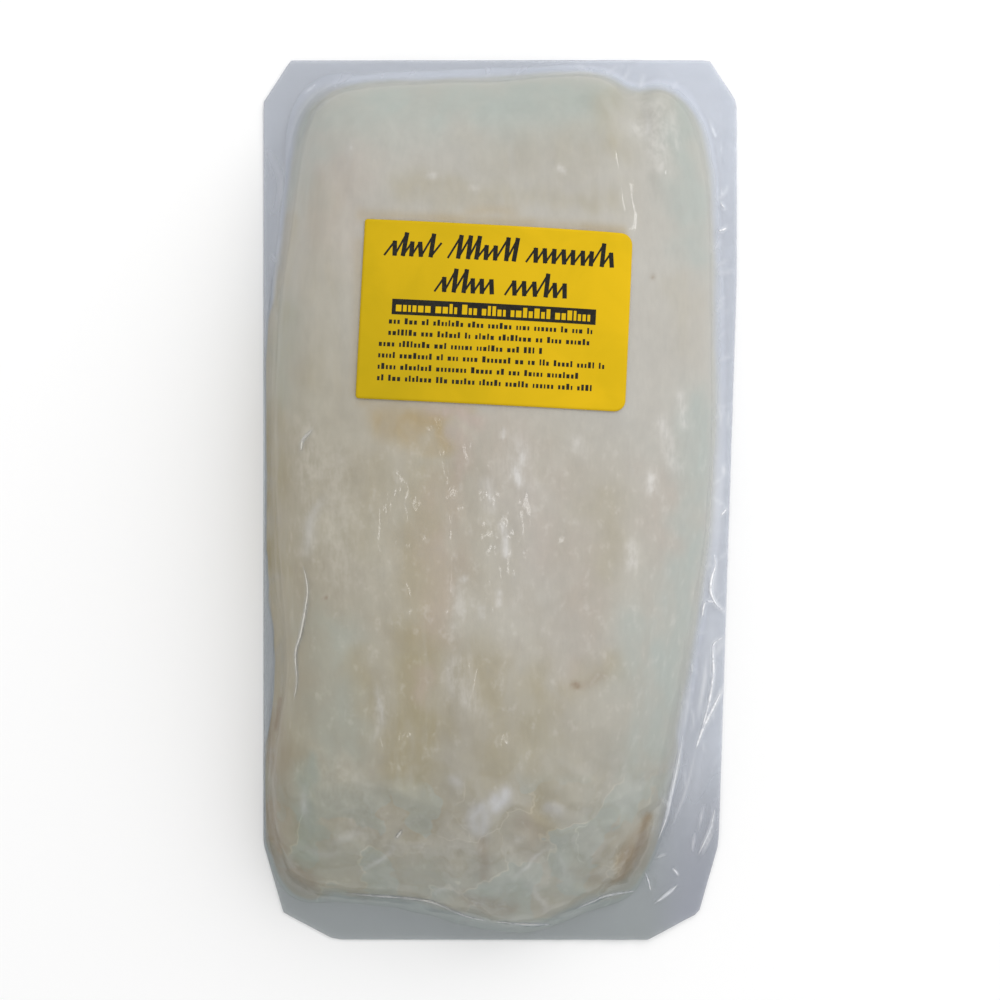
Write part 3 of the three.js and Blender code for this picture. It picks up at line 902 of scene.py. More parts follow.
def crease_material(film):
    """A crease of the film: less clear than the film round it, and painted white as a highlight."""
    material, desk = new_material("Film crease")
    patches, grain = add_mottle(desk, CREASE_PATCH)
    # Painted highlight: white on the margin, cream over the loin
    colour = desk.mix(desk.mask("over"), rgba(film.white), rgba(film.cream))
    gloss = desk.add("ShaderNodeBsdfPrincipled", {
        "Base Color": colour, "Roughness": desk.ramp(grain, 0.2, 0.8, 0.08, 0.2), "IOR": 2.0})
    clear = desk.add("ShaderNodeBsdfTransparent", {"Color": rgba(film.tint)})
    cover = desk.times(desk.mask("cover"), desk.ramp(patches, 0.36, 0.62, 0.55, 1.2))
    desk.show(desk.add("ShaderNodeMixShader", {0: cover, 1: clear.outputs[0], 2: gloss.outputs[0]}))
    return material


def paper_material(label):
    """Satin yellow label paper with faint fibres."""
    material, desk = new_material("Label paper")
    patches, grain = add_mottle(desk, PAPER_PATCH)
    deep = [share * part for share, part in zip(WORN_PAPER, label.paper)]
    colour = desk.mix(desk.ramp(patches, 0.3, 0.7), rgba(deep), rgba(label.paper))
    # Painted shade towards the paper's left edge and foot
    colour = desk.mix(desk.mask("dim"), colour, rgba(label.dim), "MULTIPLY")
    bump = desk.add("ShaderNodeBump", {"Height": grain, "Strength": 0.15, "Distance": 0.1 * MM})
    desk.show(desk.add("ShaderNodeBsdfPrincipled", {
        "Base Color": colour, "Roughness": desk.ramp(grain, 0.2, 0.8, 0.38, 0.5),
        "Normal": bump.outputs["Normal"], "Specular IOR Level": 0.1}))
    return material


def ink_material(label):
    """Matt black print, slightly worn."""
    material, desk = new_material("Print")
    patches, grain = add_mottle(desk, INK_PATCH)
    worn = [WORN_INK + part for part in label.ink]
    colour = desk.mix(desk.ramp(grain, 0.35, 0.8), rgba(label.ink), rgba(worn))
    desk.show(desk.add("ShaderNodeBsdfPrincipled", {
        "Base Color": colour, "Roughness": desk.ramp(patches, 0.2, 0.8, 0.45, 0.6),
        "Specular IOR Level": 0.15}))
    return material


# Waves of the loin's ragged edge: turns round the outline and size in millimetres
RAGGED_EDGE = ((13, 0.25), (29, 0.20), (47, 0.12), (71, 0.08))
CORNER_SPREAD = 1.6  # how much further the rim runs out at the corners of the tail end
HEAD_SPREAD = 2.4  # the same at the left corner of the head end
FILM_EDGE = 0.4  # the least width of film outside the loin
CORNER_FADE = 0.8  # how much of the rim's fade is gone at the corners of the tail end
FADE_CUT = 0.9  # how much of it may go in all
WALL_FOOT, WALL_FADE = 1, 7  # where the walls come out of the rim's haze, and over what height
RIM_BLUR, RIM_SOFT, RIM_COOL = 3, (0.95, 0.45), 0.5  # the grey-green flesh all along the rim
FOOT_REACH = 1.8  # how far the loin's foot is felt on both sides
# Painted light at the loin's foot, against the shade where its walls meet the margin
FOOT_LIGHT = 0.14  # how much lighter the flesh is there

# How much of the film's own haze hides what is behind it
VEIL = 0.42
LOIN_CLEAR, FLAP_CLEAR = 0.28, 0.07  # how much less over the loin, and over its left flap
FLAP_EDGE = (-0.3, 0.8)  # from outside to inside the flap's rim
FOOT_HAZE = 0.1  # the haze all along the loin's foot
# Painted light: FOOT_GLOW makes the haze along the loin's foot lighter
FOOT_VEIL, FOOT_GLOW = 0.4, 0.4  # how much more that haze hides, and how much lighter it is
FOOT_PATCH_MEAN, FOOT_PATCH_MOST = 0.7, 1.6  # its patches on the right side

# Where the film's columns and rows crowd: from this place on, by this share
THIN_SIDE, THIN_CROWD = 40, 0.9
TAIL_END, TAIL_CROWD = -72, 0.7

# Marks on the loin by colour: points on the pack in millimetres, a width and a strength
MARKS = {
    "cool": (
        (((-44, 88), (-25, 90), (0, 92), (18, 92)), 8, 0.9),
        (((-47, 84), (-47, 72)), 5, 0.6),
        (((42, 92), (44, 75), (46, 58)), 6, 0.8),
        (((46, 20), (44, 0), (42, -20), (40, -40), (37, -58)), 6, 0.9),
        (((32, -28), (33, -45), (30, -60)), 6, 0.6),
        (((-50, 46), (-51, 25)), 4, 0.5),
        (((-39, -30), (-38, -45), (-34, -55)), 7, 0.6),
        (((-44, -84), (-25, -86), (-5, -89), (10, -92), (22, -92)), 7, 0.8),
        (((-44.6, -58), (-44.4, -68), (-44.2, -84)), 2.4, 1.0),
        (((12, -80), (16, -86)), 5, 0.6),
        (((24, -72), (34, -70)), 6, 0.5),
    ),
    "warm": (
        (((-49, 65), (-51, 50), (-53, 20)), 3.5, 0.4),
        (((-41, 70), (-40, 50), (-40, 28)), 5, 0.22),
        (((-22, 70), (0, 69.4), (26, 68)), 4, 0.35),
        (((-53, 24), (-53, 0), (-53, -16)), 3.5, 0.6),
        (((-52, -20), (-51, -40), (-51, -60)), 3.5, 0.25),
        (((-16, 5), (-16, -15), (-16, -30)), 7, 0.5),
        (((-18, -32), (-19, -55), (-21, -68)), 6.5, 0.8),
        (((-4, -38), (0, -50), (-2, -62)), 5, 0.5),
        (((8, -38), (8, -55), (9, -75)), 4, 0.5),
        (((15, -41), (26, -38)), 4, 0.4),
        (((0, 77), (20, 80)), 7, 0.2),
        (((24, 92), (27, 82)), 4.5, 0.4),
        (((43, 48), (43, 35)), 4, 0.15),
        (((24, 0), (25, -14)), 4.5, 0.25),
        (((-28, 5), (-30, -8)), 6, 0.3),
        (((-31, -38), (-29, -48)), 4, 0.5),
    ),
    "fat": (
        (((-26, 18.6), (-20, 17.4), (-14, 17)), 4.5, 0.8),
        (((-15, 18), (-13.6, 15), (-13.2, 13)), 3, 0.8),
        # Thin orange lines along the label's bottom, top and left edges
        (((-31, 22), (-18, 21), (-6, 20)), 1.4, 0.4),
        (((-31, 64.4), (-15, 63.4), (5, 62.4), (22, 61.4), (28, 61)), 1.4, 0.5),
        (((-8, 64.4), (2, 64)), 2.4, 0.35),
        (((-31.8, 58), (-32, 40), (-32.4, 24)), 1.2, 0.4),
        (((34, -76), (32.8, -80), (31.8, -84), (29.6, -87), (27, -89.6)), 2.4, 0.8),
    ),
    "rosy": (
        (((-17, 20), (-6, 19)), 2.4, 0.9),
        (((-9, 14), (-11, 4)), 2.5, 0.6),
        (((-13, 3), (-12, -12), (-14, -30)), 4, 0.45),
        (((-16, -38), (-17, -45)), 2.2, 0.6),
        (((10, -8), (16, -14)), 6, 0.3),
        (((18, -20), (20, -35)), 5, 0.3),
        (((36, 5), (37, -10)), 4, 0.35),
        (((5, -72), (9, -80)), 4, 0.35),
        (((1, 14), (6, 2)), 9, 0.3),
        (((-37, 60), (-37, 76)), 7, 0.3),
    ),
    "flakes_and_glints": (
        (((2.4, 9), (4.6, 5)), 4, 0.35),
        (((2.4, 9.4), (3.4, 7.4), (4.4, 5.4)), 1.9, 1.0),
        (((5, 11), (5.8, 8)), 1.1, 0.5),
        # Painted glints of the film: small bright marks
        (((0.8, 15.4), (0.6, 13.8)), 0.6, 0.9),
        (((-8.4, -18), (-7.6, -17.4)), 0.7, 0.9),
        (((-4.1, -24.2), (-4, -26.8)), 0.5, 0.8),
        (((-0.2, -20.8), (-0.3, -23.6)), 0.7, 0.7),
        (((35.2, 91), (35.6, 84), (36, 77)), 2, 0.5),
        # Painted glints of the film on the head end
        (((13.4, 75.4), (14.7, 74.2)), 0.6, 0.8),
        (((-15.8, 73.4), (-14.4, 73.1)), 0.6, 0.6),
        (((-6.2, 70.6), (-4.6, 70.4)), 0.6, 0.6),
        (((17, 11),), 2, 0.5),
        (((-9, -21.6), (-8.4, -26.4)), 2.6, 0.45),
        (((0.4, -5.6), (1.2, -9), (1.4, -12.6)), 0.7, 0.9),
        (((37, 92), (37.8, 86), (37.4, 79)), 1.4, 0.5),
        (((40, 90), (41, 82)), 1.2, 0.4),
        (((-44, 15), (-42, 5)), 4, 0.4),
        (((-44, -5), (-43, -12)), 2.5, 0.5),
        (((-38, 5), (-35, -15)), 6, 0.3),
        (((10, -83), (14, -87)), 3, 0.35),
        (((-37, -65), (-33, -74)), 6, 0.4),
        (((-20, -78), (-18, -80)), 3, 0.4),
        (((-10, -80), (0, -80)), 4, 0.35),
        (((29.6, -10.4), (29.9, -14.6)), 1.3, 0.7),
        (((34.3, 5), (34.5, 2.2)), 1.4, 0.75),
        (((37, 18), (38.4, 13), (40.4, 7)), 1.4, 0.5),
        (((41.6, 24), (42.6, 17)), 1.1, 0.5),
        (((-2.6, 4), (-2.2, -2)), 1.3, 0.4),
        (((-28, -43), (-27, -52)), 1.6, 0.4),
        (((-8, -38), (-6, -48)), 3, 0.35),
    ),
    "pearl_and_sheen": (
        (((1.2, -66), (0.8, -67.6), (-0.6, -68.8), (-1.2, -69.8)), 1.45, 0.9),
        (((-1, -67.2), (-1.8, -68.4)), 1.4, 0.85),
        (((-4, -69.2), (-5.6, -70.6), (-6.4, -72.6), (-5.2, -75.2)), 1.45, 0.7),
        (((-3.4, -70.4), (-3.6, -73), (-4, -75.8)), 1.45, 0.6),
        # Painted sheen: a broad faint pale stroke down the middle
        (((6, -2), (8.6, -18), (12, -34)), 9, 0.16),
        (((-10.4, -63), (-9, -64)), 1.3, 0.4),
        (((11, -69.6), (13.4, -70.4)), 1.4, 0.5),
    ),
    "stain": (
        (((34.4, -75), (33, -80), (32, -84), (30, -87), (27.6, -89.8)), 2.1, 0.6),
        (((33.4, -79.4), (32.4, -83)), 1.45, 0.7),
        (((16.8, -41.6), (18, -42.2)), 0.7, 0.9),
        (((19, -42), (23.5, -39.5)), 1.4, 0.25),
        (((-54.4, -52), (-54.2, -70), (-53.4, -80), (-51.4, -87), (-46.4, -91.2)), 3.6, 0.48),
        (((-50.4, -60), (-50, -74)), 3, 0.3),
        (((-51.6, -47), (-52.8, -54)), 0.8, 0.8),
        (((-39.3, -22),), 0.4, 1.0),
        (((34.9, 51),), 0.55, 0.8),
        (((-4.4, -77.8), (-3.5, -82), (-3.7, -87.2)), 1.4, 0.4),
        (((-8, -93), (0, -95)), 3, 0.4),
        (((18, -84.5), (23, -87.5)), 3, 0.25),
        (((-14, 4), (-12.6, -14), (-11.6, -27)), 5, 0.06),
    ),
}


def foot_share(form, x, y):
    """1 along the loin's foot, falling to 0 on both sides of it."""
    share = form.read(soften(form.loin_share, FOOT_REACH, FOOT_REACH), x, y)
    return 4 * share * (1 - share)


class CODPACK_OT_loin(Operator):
    """Builds the cod loin under the film"""

    bl_idname = "cod_pack.loin"
    bl_label = "Cod loin"

    def execute(self, context):
        loin, film = context.scene.cod_pack.loin, context.scene.cod_pack.film
        form = bag_form()
        outline = self.outline(form, loin.spread / MM)
        x, y = self.places(form, outline)
        folds = film.crease / MM * form.creases * zone("tail folds", form.x, form.y)
        top = form.read(resting_film(form) + folds, x, y) - loin.gap / MM
        points, faces = closed_sheet(x, y, np.maximum(top, LOIN_LEAST), LOIN_RINGS)
        piece = new_piece("cod_loin", points, faces, [loin_material(loin, film)], BAG)
        x, y, z = points.T
        self.paint(piece, form, x, y)
        add_haze_masks(piece, x, y)
        theta = np.arctan2(y, x)
        short = np.maximum(CORNER_FADE * self.low_corners(form, theta), zone("left flap", x, y))
        from_rim = (outline(theta) - np.hypot(x, y)) / (loin.fade / MM * (1 - FADE_CUT * short))
        add_mask(piece, "body", np.clip(np.maximum(from_rim, (z - WALL_FOOT) / WALL_FADE), 0, 1))
        return {"FINISHED"}

    def outline(self, form, spread):
        """The loin's rim as a function from angle to radius, just inside the film's edge."""
        def radius(theta):
            ragged = sum(size * np.sin(turns * theta + turns ** 2) for turns, size in RAGGED_EDGE)
            head_corner = zone("left head corner", *self.rim_places(form, theta))
            corners = CORNER_SPREAD * self.low_corners(form, theta) + HEAD_SPREAD * head_corner
            reach = form.loin_outline(theta) + spread + corners + ragged
            return np.minimum(reach, form.film_outline(theta) - FILM_EDGE)
        return radius

    def low_corners(self, form, theta):
        """1 at the two corners of the tail end, where the flesh runs out flat, and 0 elsewhere."""
        places = self.rim_places(form, theta)
        return zone("left tail corner", *places) + zone("right tail corner", *places)

    def rim_places(self, form, theta):
        """Points at the loin's foot in the directions of angles."""
        return form.loin_outline(theta) * np.cos(theta), form.loin_outline(theta) * np.sin(theta)

    def places(self, form, outline):
        """The loin's grid, spread evenly over its surface."""
        xs = np.linspace(-outline(math.pi), outline(0), LOIN_SECTIONS[0])
        ys = np.linspace(-outline(-math.pi / 2), outline(math.pi / 2), LOIN_SECTIONS[1])
        columns = even_stations(xs, form.section(xs, True), LOIN_COLUMNS, np.ones_like)
        rows = even_stations(ys, form.section(ys, False), LOIN_ROWS, np.ones_like)
        return sheet_places(outline, columns, rows)

    def paint(self, piece, form, x, y):
        """What the loin's material reads at each point."""
        rim = smooth_step(form.read(soften(form.loin_share, RIM_BLUR, RIM_BLUR), x, y), *RIM_SOFT)
        for name, strokes in MARKS.items():
            mask = form.read(form.stroke_mask(strokes), x, y)
            if name == "cool":
                mask = np.maximum(mask, RIM_COOL * rim * zone("cool rim", x, y))
            add_mask(piece, name, mask)
        # Painted shade of the flesh towards its ends
        ends = ("dim head", "dim head edge", "dim tail")
        add_mask(piece, "dim", sum(zone(name, x, y) for name in ends))
        # Painted shade, with a yellower tint, on the left side of the flesh
        add_mask(piece, "left_shade_and_tint", zone("aged side", x, y))
        # Painted light on the head end and the right side
        add_mask(piece, "painted_light", np.clip(zone("fresh head", x, y) + zone("fresh side", x, y), 0, 1))
        add_mask(piece, "tail", zone("tail", x, y))
        # White flecks, partly painted glints of the film
        add_mask(piece, "flecks", zone("flecks", x, y))
        # Painted light along the loin's foot, except on the left flap
        add_mask(piece, "foot_light", 1 + FOOT_LIGHT * foot_share(form, x, y) * (1 - zone("left flap", x, y)))
        # Painted light: the haze on the loin's rim is lighter towards the tail end
        add_mask(piece, "glow", 1 + zone("tail glow", x, y))


def resting_film(form):
    """The height over the raster of the film's upper face without its creases."""
    return form.height - MARGIN_DROP * (1 - form.loin_share) + form.relief


def film_surface(form, film):
    """The height over the raster of the film's upper face."""
    return resting_film(form) + film.crease / MM * form.creases + film.pleat / MM * form.pleats


class CODPACK_OT_film(Operator):
    """Builds the clear film round the loin"""

    bl_idname = "cod_pack.film"
    bl_label = "Vacuum film"

    def execute(self, context):
        film, loin = context.scene.cod_pack.film, context.scene.cod_pack.loin
        form = bag_form()
        x, y = self.places(form)
        points, faces = closed_sheet(x, y, form.read(film_surface(form, film), x, y), FILM_RINGS)
        piece = new_piece("vacuum_film", points, faces, [film_material(film)], BAG)
        on_top = np.arange(len(points)) < x.size
        x, y, _ = points.T
        creases = form.read(form.creases, x, y) * (1 - zone("calm tail", x, y))
        add_mask(piece, "crease", creases * on_top)
        self.cloud(piece, form, loin.spread / MM, x, y)
        add_haze_masks(piece, x, y)
        return {"FINISHED"}

    def cloud(self, piece, form, spread, x, y):
        """How much haze the film has at each point, and how light it is."""
        to_rim = form.loin_outline(np.arctan2(y, x)) + spread - np.hypot(x, y)
        flap = zone("left flap", x, y) * smooth_step(to_rim, *FLAP_EDGE)
        inner = np.maximum(form.read(form.loin_share, x, y), flap)
        add_mask(piece, "over", inner)
        uneven = FOOT_PATCH_MEAN + form.read(form.grain(*FOOT_PATCHES), x, y)
        right = zone("right foot", x, y) * np.clip(uneven, 0, FOOT_PATCH_MOST)
        foot = foot_share(form, x, y) * (FOOT_HAZE + right)
        add_mask(piece, "veil", VEIL - LOIN_CLEAR * inner + FOOT_VEIL * foot - FLAP_CLEAR * flap)
        # Painted light: lighter haze along the loin's foot, on the right side and at the head end
        sides = np.maximum(zone("side glow", x, y), zone("head glow", x, y))
        add_mask(piece, "glow", 1 + np.maximum(FOOT_GLOW * foot, sides))

    def places(self, form):
        """The film's grid, spread evenly over its surface but finer where it crumples most."""
        xs = np.linspace(BAG_LOW[0], BAG_HIGH[0], FILM_SECTIONS[0])
        ys = np.linspace(BAG_LOW[1], BAG_HIGH[1], FILM_SECTIONS[1])

        def thin_side(position):
            return 1 + THIN_CROWD * (position > THIN_SIDE)

        def tail_end(position):
            return 1 + TAIL_CROWD * (position < TAIL_END)
        columns = even_stations(xs, form.section(xs, True), FILM_COLUMNS, thin_side)
        rows = even_stations(ys, form.section(ys, False), FILM_ROWS, tail_end)
        return sheet_places(form.film_outline, columns, rows)


# The ridge of a crisp crease
RIDGE_SECTION = np.array((-1, -0.62, -0.28, 0, 0.28, 0.62, 1))  # points from side to side
RIDGE_HEIGHT = 0.45
RIDGE_CURVE, RIDGE_TAPER = 1.5, 0.5  # how sharply it rises to its crest, and narrows to its ends
RIDGE_SINK = 0.04  # how deep its foot sits in the film
RIDGE_CLEAR = 0.2  # how far it keeps from the film's edge


def strand(form, surface, points, half_width, height):
    """A closed ridge that stands on the film along a path and tapers to its ends.

    Gives its points, its faces, and how near each point is to the crest.
    """
    path = np.array(smooth_path(points))
    edge = form.film_outline(np.arctan2(path[:, 1], path[:, 0]))
    path = path[np.hypot(path[:, 0], path[:, 1]) < edge - half_width - RIDGE_CLEAR]
    heading = np.gradient(path, axis=0)
    heading /= np.hypot(heading[:, 0], heading[:, 1])[:, None]
    taper = np.sin(math.pi * (np.arange(len(path)) + 0.5) / len(path)) ** RIDGE_TAPER
    offset = RIDGE_SECTION * half_width * taper[:, None]
    x = path[:, :1] - heading[:, 1:] * offset
    y = path[:, 1:] + heading[:, :1] * offset
    rise = height * (1 - RIDGE_SECTION ** 2) ** RIDGE_CURVE * taper[:, None] - RIDGE_SINK
    points = np.stack((x, y, form.read(surface, x, y) + rise), -1)
    crest = np.tile(1 - abs(RIDGE_SECTION), len(path))
    rings, sides = x.shape
    index = np.arange(rings * sides).reshape(rings, sides)
    beside = np.roll(index, -1, 1)
    along = np.stack((index[:-1], index[1:], beside[1:], beside[:-1]), -1).reshape(-1, 4)
    return points.reshape(-1, 3), [*along.tolist(), index[0].tolist(), index[-1, ::-1].tolist()], crest


class CODPACK_OT_creases(Operator):
    """Builds the crisp creases that stand up from the film"""

    bl_idname = "cod_pack.creases"
    bl_label = "Film creases"

    def execute(self, context):
        film = context.scene.cod_pack.film
        form = bag_form()
        surface = film_surface(form, film)
        points, faces, covers, used = [], [], [], 0
        for place, (slimness, cover) in CREASE_LOOK.items():
            for path, width, share in CREASES[place]:
                if share < CRISP_SHARE:
                    continue
                height = RIDGE_HEIGHT * share
                ridge, ridge_faces, crest = strand(form, surface, path, slimness * width, height)
                points.append(ridge)
                covers.append(cover * crest)
                faces += [tuple(used + corner for corner in face) for face in ridge_faces]
                used += len(ridge)
        points = np.concatenate(points)
        piece = new_piece("film_creases", points, faces, [crease_material(film)], BAG)
        add_mask(piece, "cover", np.concatenate(covers))
        add_mask(piece, "over", form.read(form.loin_share, points[:, 0], points[:, 1]))
        return {"FINISHED"}


LABEL_CLEAR = 0.03  # from the film to the paper
# Painted shade on the paper, darker towards its left edge and more so at its foot
PAPER_DIM = 0.6  # where the label starts to dim, as a share of its half width
DIM_SHARE, DIM_LOW = 0.6, 0.5  # how much it dims at its left edge, and how much more at the foot of it

# The print, in millimetres from the label's middle. Zigzags of the pen have a start, an end and a foot
SCRIBBLES = ((-25.5, -14, 12.3), (-11.2, 3.2, 12.3), (6.4, 25.6, 12.3),
             (-13.8, -1.2, 4.6), (2, 15.2, 4.6))
PEN_STEP = (0.85, 1.3)  # from each stroke to the next
PEN_HEIGHTS = (3.2, 3.2, 3.2, 5.2)
PEN_SLANT = 0.3
PEN_UP, PEN_DOWN, PEN_END = 0.45, 1.0, 0.1  # widths of its strokes, and how far they run over
BAR = (-23.2, 22.7)  # the start and end of the black bar
BAR_PLACE, BAR_HEIGHT, BAR_LENGTH = 0.7, 3.5, 2.0  # the last is that of each of its short lengths
BAR_ROW, BAR_ROW_PLACE = (-22.3, 21.8), 0.75  # the pale row of blocks on the bar
BAR_ROW_HEIGHT, BAR_ROW_WIDEN = 2.2, 1.7
ROWS = ((-23.7, 22.7), (-23.7, 22.2), (-25.7, 11.5), (-25.7, 25.4), (-25.7, 19.5), (-25.7, 24.4))
FIRST_ROW, ROW_STEP, ROW_HEIGHT = -2.5, 2.57, 1.35
BLOCK_WIDTH, BLOCK_SHARES = (0.35, 0.75), (0.68, 0.68, 1.0)  # shares of the row's height
BLOCK_GAP, GROUP_GAP = 0.36, 0.75
GROUP_SIZE = (2, 9)  # from the first number of blocks to below the second
ROW_REST = 1  # no group starts nearer than this to a row's end
INK_SINK, INK_RISE, PALE_RISE = 0.03, 0.025, 0.05  # how the print sits in and on the paper


def label_height(form, across, along, label):
    """The height of the label's upper face at places across and along it."""
    x, y = pack_place(label, across, along)
    return form.read(form.height, x, y) + LABEL_CLEAR + label.thickness / MM


class CODPACK_OT_label(Operator):
    """Builds the paper label"""

    bl_idname = "cod_pack.label"
    bl_label = "Paper label"

    def execute(self, context):
        label = context.scene.cod_pack.label
        form = bag_form()
        half = np.array((label.width, label.height)) / MM / 2
        sides = np.linspace(-half[0], half[0], LABEL_COLUMNS), np.linspace(-half[1], half[1], LABEL_ROWS)
        across, along = self.rounded(*np.meshgrid(*sides), half, label)
        x, y = pack_place(label, across, along)
        top = label_height(form, across, along, label)
        points = np.concatenate([np.stack((x.ravel(), y.ravel(), level.ravel()), -1)
                                 for level in (top, top - label.thickness / MM)])
        upper = grid_faces(LABEL_COLUMNS, LABEL_ROWS)
        rim = grid_rim(LABEL_COLUMNS, LABEL_ROWS)
        edge = band_faces(rim, rim + x.size)
        faces = np.concatenate((upper, upper[:, ::-1] + x.size, edge)).tolist()
        piece = new_piece("paper_label", points, faces, [paper_material(label)], LABEL)
        # Painted shade on the paper: darker towards its left edge, more so at its foot
        foot = DIM_SHARE + DIM_LOW * smooth_step(along, half[1], -half[1])
        dim = smooth_step(across, PAPER_DIM * half[0], -half[0]) * foot
        add_mask(piece, "dim", np.tile(dim.ravel(), 2))
        return {"FINISHED"}

    def rounded(self, across, along, half, label):
        """The grid with its corners drawn in to arcs."""
        radius = np.where(across < 0, label.left_corner, label.right_corner) / MM
        beside = np.maximum(abs(across) - half[0] + radius, 0)
        beyond = np.maximum(abs(along) - half[1] + radius, 0)
        reach = np.hypot(beside, beyond)
        pull = np.where(reach > 0, np.maximum(beside, beyond) / np.maximum(reach, TINY), 1)
        across = np.sign(across) * (abs(across) - beside + beside * pull)
        along = np.sign(along) * (abs(along) - beyond + beyond * pull)
        return across, along


class CODPACK_OT_print(Operator):
    """Prints zigzag pen strokes, a bar and rows of small blocks on the label"""

    bl_idname = "cod_pack.print"
    bl_label = "Label print"

    def execute(self, context):
        self.label, self.form = context.scene.cod_pack.label, bag_form()
        self.draw = np.random.default_rng(self.label.seed)
        self.points, self.faces, self.paints = [], [], []
        for start, end, foot in SCRIBBLES:
            self.scribble(start, end, foot)
        self.strip(*BAR, BAR_PLACE, BAR_HEIGHT)
        self.row(BAR_ROW, BAR_ROW_PLACE, BAR_ROW_HEIGHT, widen=BAR_ROW_WIDEN, paint=1, rise=PALE_RISE)
        for number, reach in enumerate(ROWS):
            self.row(reach, FIRST_ROW - ROW_STEP * number, ROW_HEIGHT)
        materials = [ink_material(self.label), bpy.data.materials["Label paper"]]
        piece = new_piece("label_print", np.concatenate(self.points), self.faces, materials, LABEL)
        piece.data.polygons.foreach_set("material_index", self.paints)
        piece.data.polygons.foreach_set("use_smooth", [False] * len(self.paints))
        return {"FINISHED"}

    def scribble(self, start, end, foot):
        """A slanted zigzag of thick and thin pen strokes, with a few tall ones."""
        at, low = start, True
        place = np.array((at, foot))
        while at < end:
            at += self.draw.uniform(*PEN_STEP)
            tall = self.draw.choice(PEN_HEIGHTS) if low else 0
            there = np.array((at + PEN_SLANT * tall, foot + tall))
            self.stroke(place, there, PEN_UP if low else PEN_DOWN)
            place, low = there, not low

    def stroke(self, start, end, width):
        """A straight pen stroke with square ends."""
        heading = (end - start) / np.hypot(*(end - start))
        side = np.array((-heading[1], heading[0])) * width / 2
        start, end = start - PEN_END * heading, end + PEN_END * heading
        self.block(np.array((start - side, end - side, end + side, start + side)))

    def row(self, reach, along, height, widen=1, paint=0, rise=INK_RISE):
        """A row of small blocks in uneven groups."""
        at, end = reach
        low = along - height / 2
        while at < end - ROW_REST:
            for _ in range(self.draw.integers(*GROUP_SIZE)):
                right = at + widen * self.draw.uniform(*BLOCK_WIDTH)
                if right > end:
                    break
                high = low + height * self.draw.choice(BLOCK_SHARES)
                self.block(np.array(((at, low), (right, low), (right, high), (at, high))), paint, rise)
                at = right + BLOCK_GAP
            at += GROUP_GAP

    def strip(self, start, end, along, height):
        """A solid bar across the label, in short lengths that follow its bend."""
        low, high = along - height / 2, along + height / 2
        for left in np.arange(start, end, BAR_LENGTH):
            right = min(left + BAR_LENGTH, end)
            self.block(np.array(((left, low), (right, low), (right, high), (left, high))))

    def block(self, corners, paint=0, rise=INK_RISE):
        """A thin raised block of ink with four corners, its lower face just in the paper."""
        x, y = pack_place(self.label, corners[:, 0], corners[:, 1])
        surface = label_height(self.form, corners[:, 0], corners[:, 1], self.label)
        first = 4 * len(self.points)
        for level in (surface - INK_SINK, surface + rise):
            self.points.append(np.stack((x, y, level), -1))
        low, high = [*range(first, first + 4)], [*range(first + 4, first + 8)]
        sides = [(low[n - 1], low[n], high[n], high[n - 1]) for n in (1, 2, 3, 0)]
        block = [low[::-1], high, *sides]
        self.faces += block
        self.paints += [paint] * len(block)


# The stage, in metres
FLOOR_REACH = 3.0
FLOOR_DROP = 0.3 * MM  # how far the floor lies below the pack
NEAREST = 0.01  # what is nearer to the camera isn't seen
KEY_PLACE, KEY_SIZE = (0.50, 0.70, 0.60), 1.1
# Small lights that sparkle on the film: places and sizes
GLINTS = {"Right glint": ((0.60, 0.35, 0.30), 0.05), "Ceiling lamp": ((-0.02, -0.06, 1.0), 0.06),
          "Left glint": ((-0.35, 0.55, 0.40), 0.05)}
SENSOR_WIDTH = 36  # millimetres


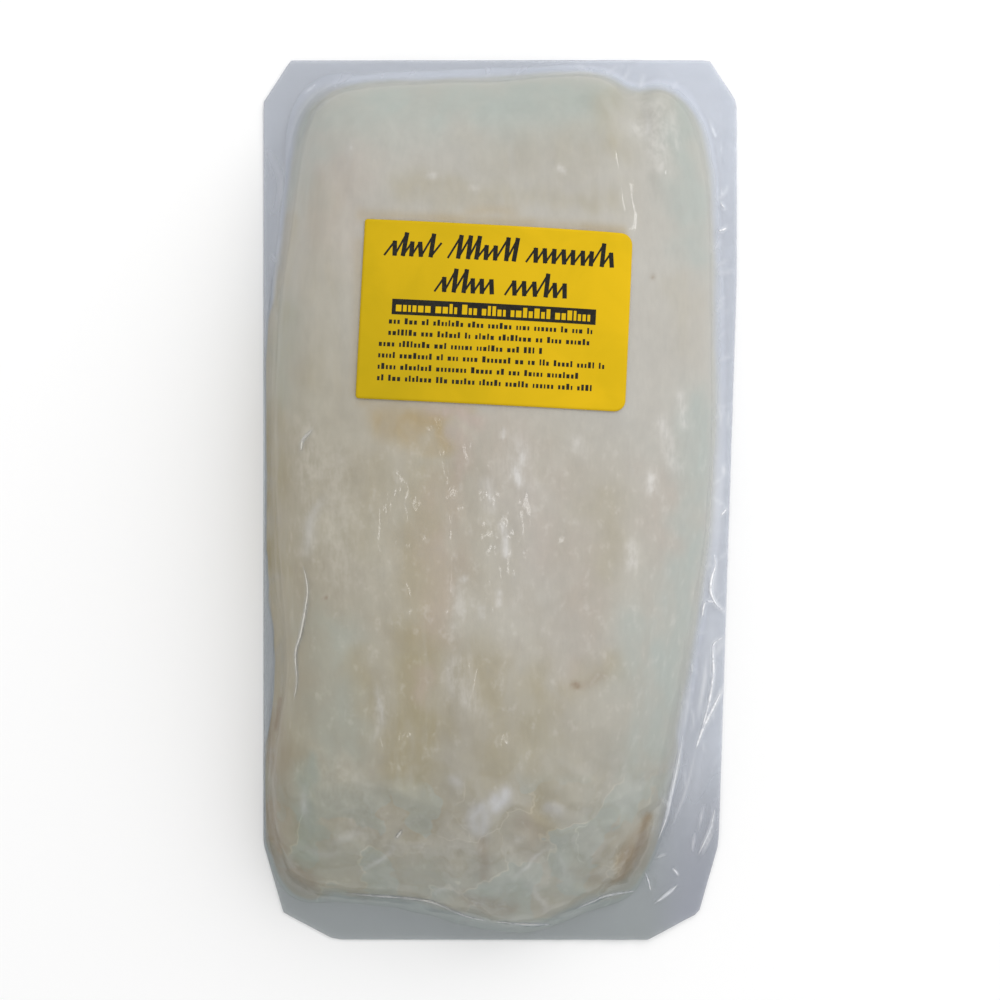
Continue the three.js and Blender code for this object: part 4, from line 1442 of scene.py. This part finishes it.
class CODPACK_OT_stage(Operator):
    """Sets up the floor, the lights and the camera"""

    bl_idname = "cod_pack.stage"
    bl_label = "Studio stage"

    def execute(self, context):
        stage = context.scene.cod_pack.stage
        self.floor(stage)
        self.lights(context.scene, stage)
        self.camera(context.scene, stage)
        context.scene.view_settings.view_transform = "Standard"
        return {"FINISHED"}

    def floor(self, stage):
        material, desk = new_material("Floor")
        desk.show(desk.add("ShaderNodeBsdfPrincipled", {
            "Base Color": rgba(stage.floor), "Roughness": 0.9, "Specular IOR Level": 0.1}))
        mesh = bpy.data.meshes.new("floor")
        signs = ((-1, -1), (1, -1), (1, 1), (-1, 1))
        corners = [(across * FLOOR_REACH, along * FLOOR_REACH, -FLOOR_DROP) for across, along in signs]
        mesh.from_pydata(corners, [], [(0, 1, 2, 3)])
        mesh.materials.append(material)
        floor = bpy.data.objects.new("floor", mesh)
        bpy.context.scene.collection.objects.link(floor)

    def lights(self, scene, stage):
        world = bpy.data.worlds.new("Even light")
        world.use_nodes = True
        sky = world.node_tree.nodes["Background"]
        sky.inputs["Color"].default_value = (1, 1, 1, 1)
        sky.inputs["Strength"].default_value = stage.sky
        scene.world = world
        self.area_light("Key light", KEY_PLACE, KEY_SIZE, stage.key).visible_glossy = False
        for name, (place, size) in GLINTS.items():
            self.area_light(name, place, size, stage.glint)

    def area_light(self, name, place, size, power):
        lamp = bpy.data.lights.new(name, "AREA")
        lamp.shape = "DISK"
        lamp.size = size
        lamp.energy = power
        light = bpy.data.objects.new(name, lamp)
        light.location = place
        light.rotation_euler = (-Vector(place)).to_track_quat("-Z", "Y").to_euler()
        bpy.context.scene.collection.objects.link(light)
        return light

    def camera(self, scene, stage):
        lens = bpy.data.cameras.new("Camera")
        lens.sensor_width = SENSOR_WIDTH
        lens.lens = SENSOR_WIDTH * stage.eye / stage.view
        lens.clip_start = NEAREST
        camera = bpy.data.objects.new("Camera", lens)
        camera.location = (0, 0, stage.eye)
        scene.collection.objects.link(camera)
        scene.camera = camera


OPERATORS = (CODPACK_OT_loin, CODPACK_OT_film, CODPACK_OT_creases, CODPACK_OT_label, CODPACK_OT_print,
             CODPACK_OT_stage)


class CODPACK_PT_panel(Panel):
    """Lists the pieces of the pack"""

    bl_idname = "CODPACK_PT_panel"
    bl_label = "Cod loin pack"
    bl_space_type = "VIEW_3D"
    bl_region_type = "UI"
    bl_category = "Cod loin"

    def draw(self, context):
        for operator in OPERATORS:
            self.layout.operator(operator.bl_idname)


CLASSES = (LoinSettings, FilmSettings, LabelSettings, StageSettings, PackSettings, *OPERATORS,
           CODPACK_PT_panel)


def register():
    for cls in CLASSES:
        bpy.utils.register_class(cls)
    bpy.types.Scene.cod_pack = PointerProperty(type=PackSettings)


def unregister():
    del bpy.types.Scene.cod_pack
    for cls in reversed(CLASSES):
        bpy.utils.unregister_class(cls)


def main():
    register()
    bpy.ops.cod_pack.loin()
    bpy.ops.cod_pack.film()
    bpy.ops.cod_pack.creases()
    bpy.ops.cod_pack.label()
    bpy.ops.cod_pack.print()
    bpy.ops.cod_pack.stage()


if __name__ == "__main__":
    main()
